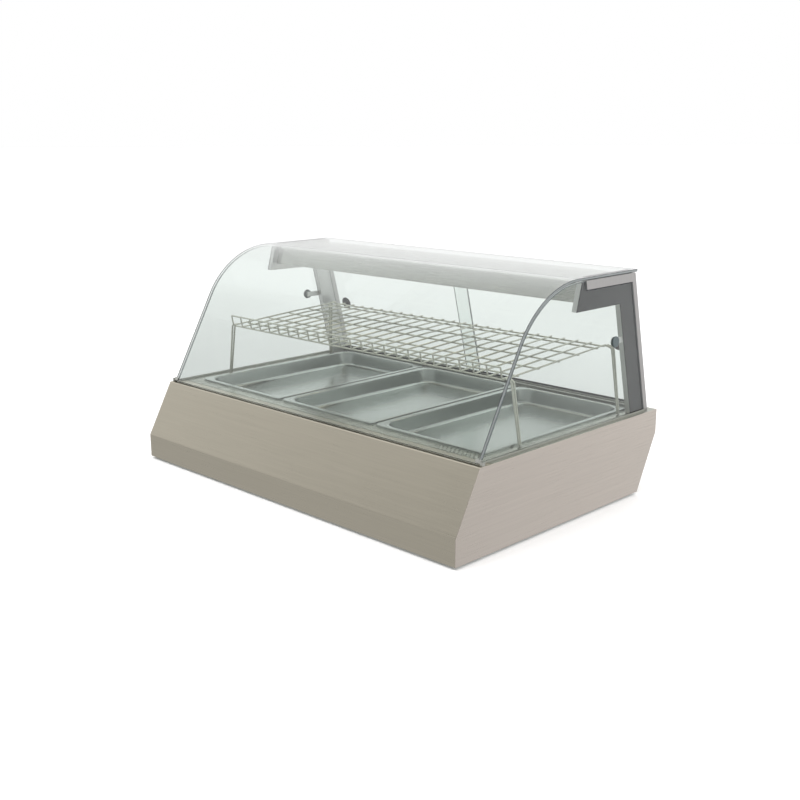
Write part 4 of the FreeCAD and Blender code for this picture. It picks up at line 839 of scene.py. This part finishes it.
class CASE_OT_pans(bpy.types.Operator):
    """Draws the three food pans with rounded rims, walls and floors"""
    bl_idname = "display_case.pans"
    bl_label = "Food Pans"

    def execute(self, context):
        wall, rim, lip, depth = 1 * MM, 11 * MM, 4.5 * MM, 40 * MM
        shoulder, fillet = 1.4 * MM, 9 * MM
        draft = math.tan(math.radians(7))
        for way in ("left", "middle", "right"):
            name = "pan_" + way
            low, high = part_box(name)
            middle, half = (low + high) / 2, (high - low) / 2
            bm = bmesh.new()
            rings = []
            for offset in (0.0, wall):
                section = [(0.0, -lip + offset), (0.0, -1.2 * MM), (0.35 * MM, -0.35 * MM), (1.2 * MM, 0.0),
                           (rim - 3 * MM, 0.0), (rim, -0.6 * MM), (rim + shoulder, -2.4 * MM)]
                foot = rim + shoulder + (depth - fillet) * draft
                section.append((foot, -depth + fillet))
                section += [(foot + fillet * (1 - math.cos(a)), -depth + fillet * (1 - math.sin(a)))
                            for a in (0.35, 0.7, 1.05, 1.4)]
                section.append((foot + 16 * MM, -depth))
                sheet = []
                for inset, drop in section:
                    inward = offset if inset < rim * 0.5 else -offset * (drop < -0.3 * MM)
                    inset += inward
                    corner = 12 * MM if inset < rim * 0.5 else max(24 * MM, 42 * MM - (inset - rim))
                    sheet.append(pan_ring(bm, half.x - inset, half.y - inset, corner, high.z + drop - offset))
                rings.append(sheet)
            loops = rings[0][::-1] + rings[1]
            for first, second in zip(loops, loops[1:]):
                for i in range(len(first)):
                    j = (i + 1) % len(first)
                    bm.faces.new((first[i], first[j], second[j], second[i]))
            bm.faces.new(loops[0])
            bm.faces.new(loops[-1])
            bmesh.ops.recalc_face_normals(bm, faces=bm.faces)
            bmesh.ops.translate(bm, verts=bm.verts, vec=(middle.x, middle.y, 0))
            pan = as_object(name + "_drawn", bm, "pan")
            smooth_by_angle(pan.data, 50)
            stand_in(pan, name)
        return {"FINISHED"}


class CASE_OT_shelf(bpy.types.Operator):
    """Spreads the wires of the shelf and its guard, and rounds the edges of its legs"""
    bl_idname = "display_case.shelf"
    bl_label = "Wire Shelf"

    def execute(self, context):
        s = sizes()
        wires = wire_row_tree()
        low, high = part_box("shelf_grid")
        rise, run = math.sin(s.slope), math.cos(s.slope)
        half = (high.x - low.x) / 2 - s.wire
        pitch = 2 * half / s.bays
        level, overhang = 340.5 * MM, 1 * MM
        front = at(-half, low.y, level)
        coat = MATERIALS["wire"]
        grid = [spread("depth_wires", wires, Start=front, Step=(pitch, 0, 0), Count=s.bays + 1,
                       Run=(0, s.depth * run, s.depth * rise), Radius=s.wire, Material=coat)]
        drop, first_row, row_pitch = 3.2 * MM, 47, 73.3
        rows = [4 * MM] + [(first_row + row_pitch * i) * MM for i in range(5)] + [s.depth - 6 * MM]
        for i, along in enumerate(rows):
            spot = front + at(-overhang, along * run + drop * rise, along * rise - drop * run)
            grid.append(spread(f"cross_wire{i}", wires, Start=spot, Step=(0, 0, 0.001), Count=1,
                               Run=(2 * (half + overhang), 0, 0), Radius=s.wire, Material=coat))
        stand_in(joined("shelf_grid_wires", grid), "shelf_grid", flat_shading=False)

        low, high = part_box("shelf_guard")
        foot = at(-half, high.y - s.wire, front.z)
        up = at(0, -math.sin(s.guard_lean) * s.guard, math.cos(s.guard_lean) * s.guard)
        guard = [
            spread("pickets", wires, Start=foot, Step=(pitch, 0, 0), Count=s.bays + 1, Run=up,
                   Radius=s.wire * 0.95, Material=coat),
            spread("guard_wire", wires, Start=foot + up - at(overhang, 0, 0), Step=(0, 0, 0.001), Count=1,
                   Run=(2 * (half + overhang), 0, 0), Radius=s.wire, Material=coat),
        ]
        stand_in(joined("shelf_guard_wires", guard), "shelf_guard", flat_shading=False)
        soften("shelf_legs", "wire", 0.3)
        return {"FINISHED"}


class CASE_OT_controls(bpy.types.Operator):
    """Finishes the thermostat, switches, pilot lamp, cable gland and inner parts"""
    bl_idname = "display_case.controls"
    bl_label = "Controls"

    def execute(self, context):
        low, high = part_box("thermostat_knob")
        middle = (low + high) / 2
        skirt = [(0, 0), (19.2, 0), (20, 0.8), (20, 2.4), (18.6, 4)]
        grip = [(16, 5), (15.4, 14), (14.6, 16.2), (12.5, 17), (0, 17)]
        foot = at(middle.x, low.y, middle.z)
        parts = [
            turned("skirt", skirt + [(0, 4)], foot, (0, 1, 0), "plastic", 72),
            turned("grip", [(0, 3.9), (16.4, 3.9)] + grip, foot, (0, 1, 0), "plastic", 96, 16, 1.3),
        ]
        bm = bmesh.new()
        mark = Matrix.Translation((middle.x, low.y + 16.3 * MM, middle.z + 8 * MM)) @ Matrix.Diagonal(
            (1.4 * MM, 1 * MM, 9 * MM, 1))
        bmesh.ops.create_cube(bm, size=1, matrix=mark)
        parts.append(bevelled(as_object("mark", bm, "white"), 0.2))
        stand_in(joined("thermostat_knob_fluted", parts), "thermostat_knob")
        soften("thermostat_shaft", "bolt", 0.4)
        soften("thermostat_body", "plastic", 1.5, 3)
        for name in ("main_switch_rocker", "lamp_switch_rocker"):
            soften(name, "gloss", 0.7, 3)
        soften("switch_bodies", "plastic", 0.6, 3)
        soften("pilot_lamp", "pilot", 0.8, 3)
        soften("cable_gland", "plastic", 0.8, 3)
        soften("terminal_block", "white", 1.0)
        soften("lamp_ballast", "white", 1.5)
        return {"FINISHED"}


class CASE_OT_feet(bpy.types.Operator):
    """Turns the rubber feet and drives the screws"""
    bl_idname = "display_case.feet"
    bl_label = "Feet and Screws"

    def execute(self, context):
        low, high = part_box("feet")
        feet, radius = [], 20 * MM
        for x in (low.x + radius, high.x - radius):
            for y in (low.y + radius, high.y - radius):
                profile = [(0, 0.6), (14, 0.6), (15, 0), (18.6, 0), (19.6, 0.8), (20, 2.2), (19.2, 5),
                           (18.4, 6), (4, 6), (4, 15.2), (3.6, 15.5), (0, 15.5)]
                feet.append(turned("foot", profile, at(x, y, 0), (0, 0, 1), "rubber", 40))
        stand_in(joined("feet_moulded", feet), "feet")

        low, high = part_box("panel_screws")
        middle = (low + high) / 2
        head = turned("head", [(0, 0.9), (0.7, 0.95), (0.9, 1.9), (2.4, 1.75), (3.6, 1.1), (4, 0.2), (4, 0),
                               (0, 0)], at(0, 0, 0), (0, 1, 0), "bolt", 24)
        count, head_radius = 6, 4 * MM
        first = low.x + head_radius
        step = (high.x - low.x - 2 * head_radius) / (count - 1)
        screws = spread("panel_screws_driven", copy_row_tree(), Object=head, Count=count,
                        Start=(first, low.y, middle.z), Step=(step, 0, 0), Material=MATERIALS["bolt"])
        bpy.data.objects.remove(head)
        stand_in(screws, "panel_screws")
        return {"FINISHED"}


OPERATORS = (CASE_OT_stage, CASE_OT_cabinet, CASE_OT_well, CASE_OT_glass, CASE_OT_frames, CASE_OT_canopy,
             CASE_OT_doors, CASE_OT_pans, CASE_OT_shelf, CASE_OT_controls, CASE_OT_feet)


class CASE_PT_panel(bpy.types.Panel):
    """Lists the pieces of the display case"""
    bl_idname = "CASE_PT_panel"
    bl_label = "Display Case"
    bl_space_type = "VIEW_3D"
    bl_region_type = "UI"
    bl_category = "Display Case"

    def draw(self, context):
        for operator in OPERATORS:
            self.layout.operator(operator.bl_idname)
        for group in (context.scene.case_finishes, context.scene.case_sizes, context.scene.case_studio):
            box = self.layout.box()
            for name in group.__annotations__:
                box.prop(group, name)


CLASSES = (CaseFinishes, CaseSizes, CaseStudio) + OPERATORS + (CASE_PT_panel,)


def register():
    for cls in CLASSES:
        bpy.utils.register_class(cls)
    bpy.types.Scene.case_finishes = bpy.props.PointerProperty(type=CaseFinishes)
    bpy.types.Scene.case_sizes = bpy.props.PointerProperty(type=CaseSizes)
    bpy.types.Scene.case_studio = bpy.props.PointerProperty(type=CaseStudio)


def unregister():
    for name in ("case_finishes", "case_sizes", "case_studio"):
        delattr(bpy.types.Scene, name)
    for cls in reversed(CLASSES):
        bpy.utils.unregister_class(cls)


def main():
    register()
    make_materials()
    for operator in OPERATORS:
        getattr(bpy.ops.display_case, operator.bl_idname.split(".")[1])()


if __name__ == "__main__":
    main()
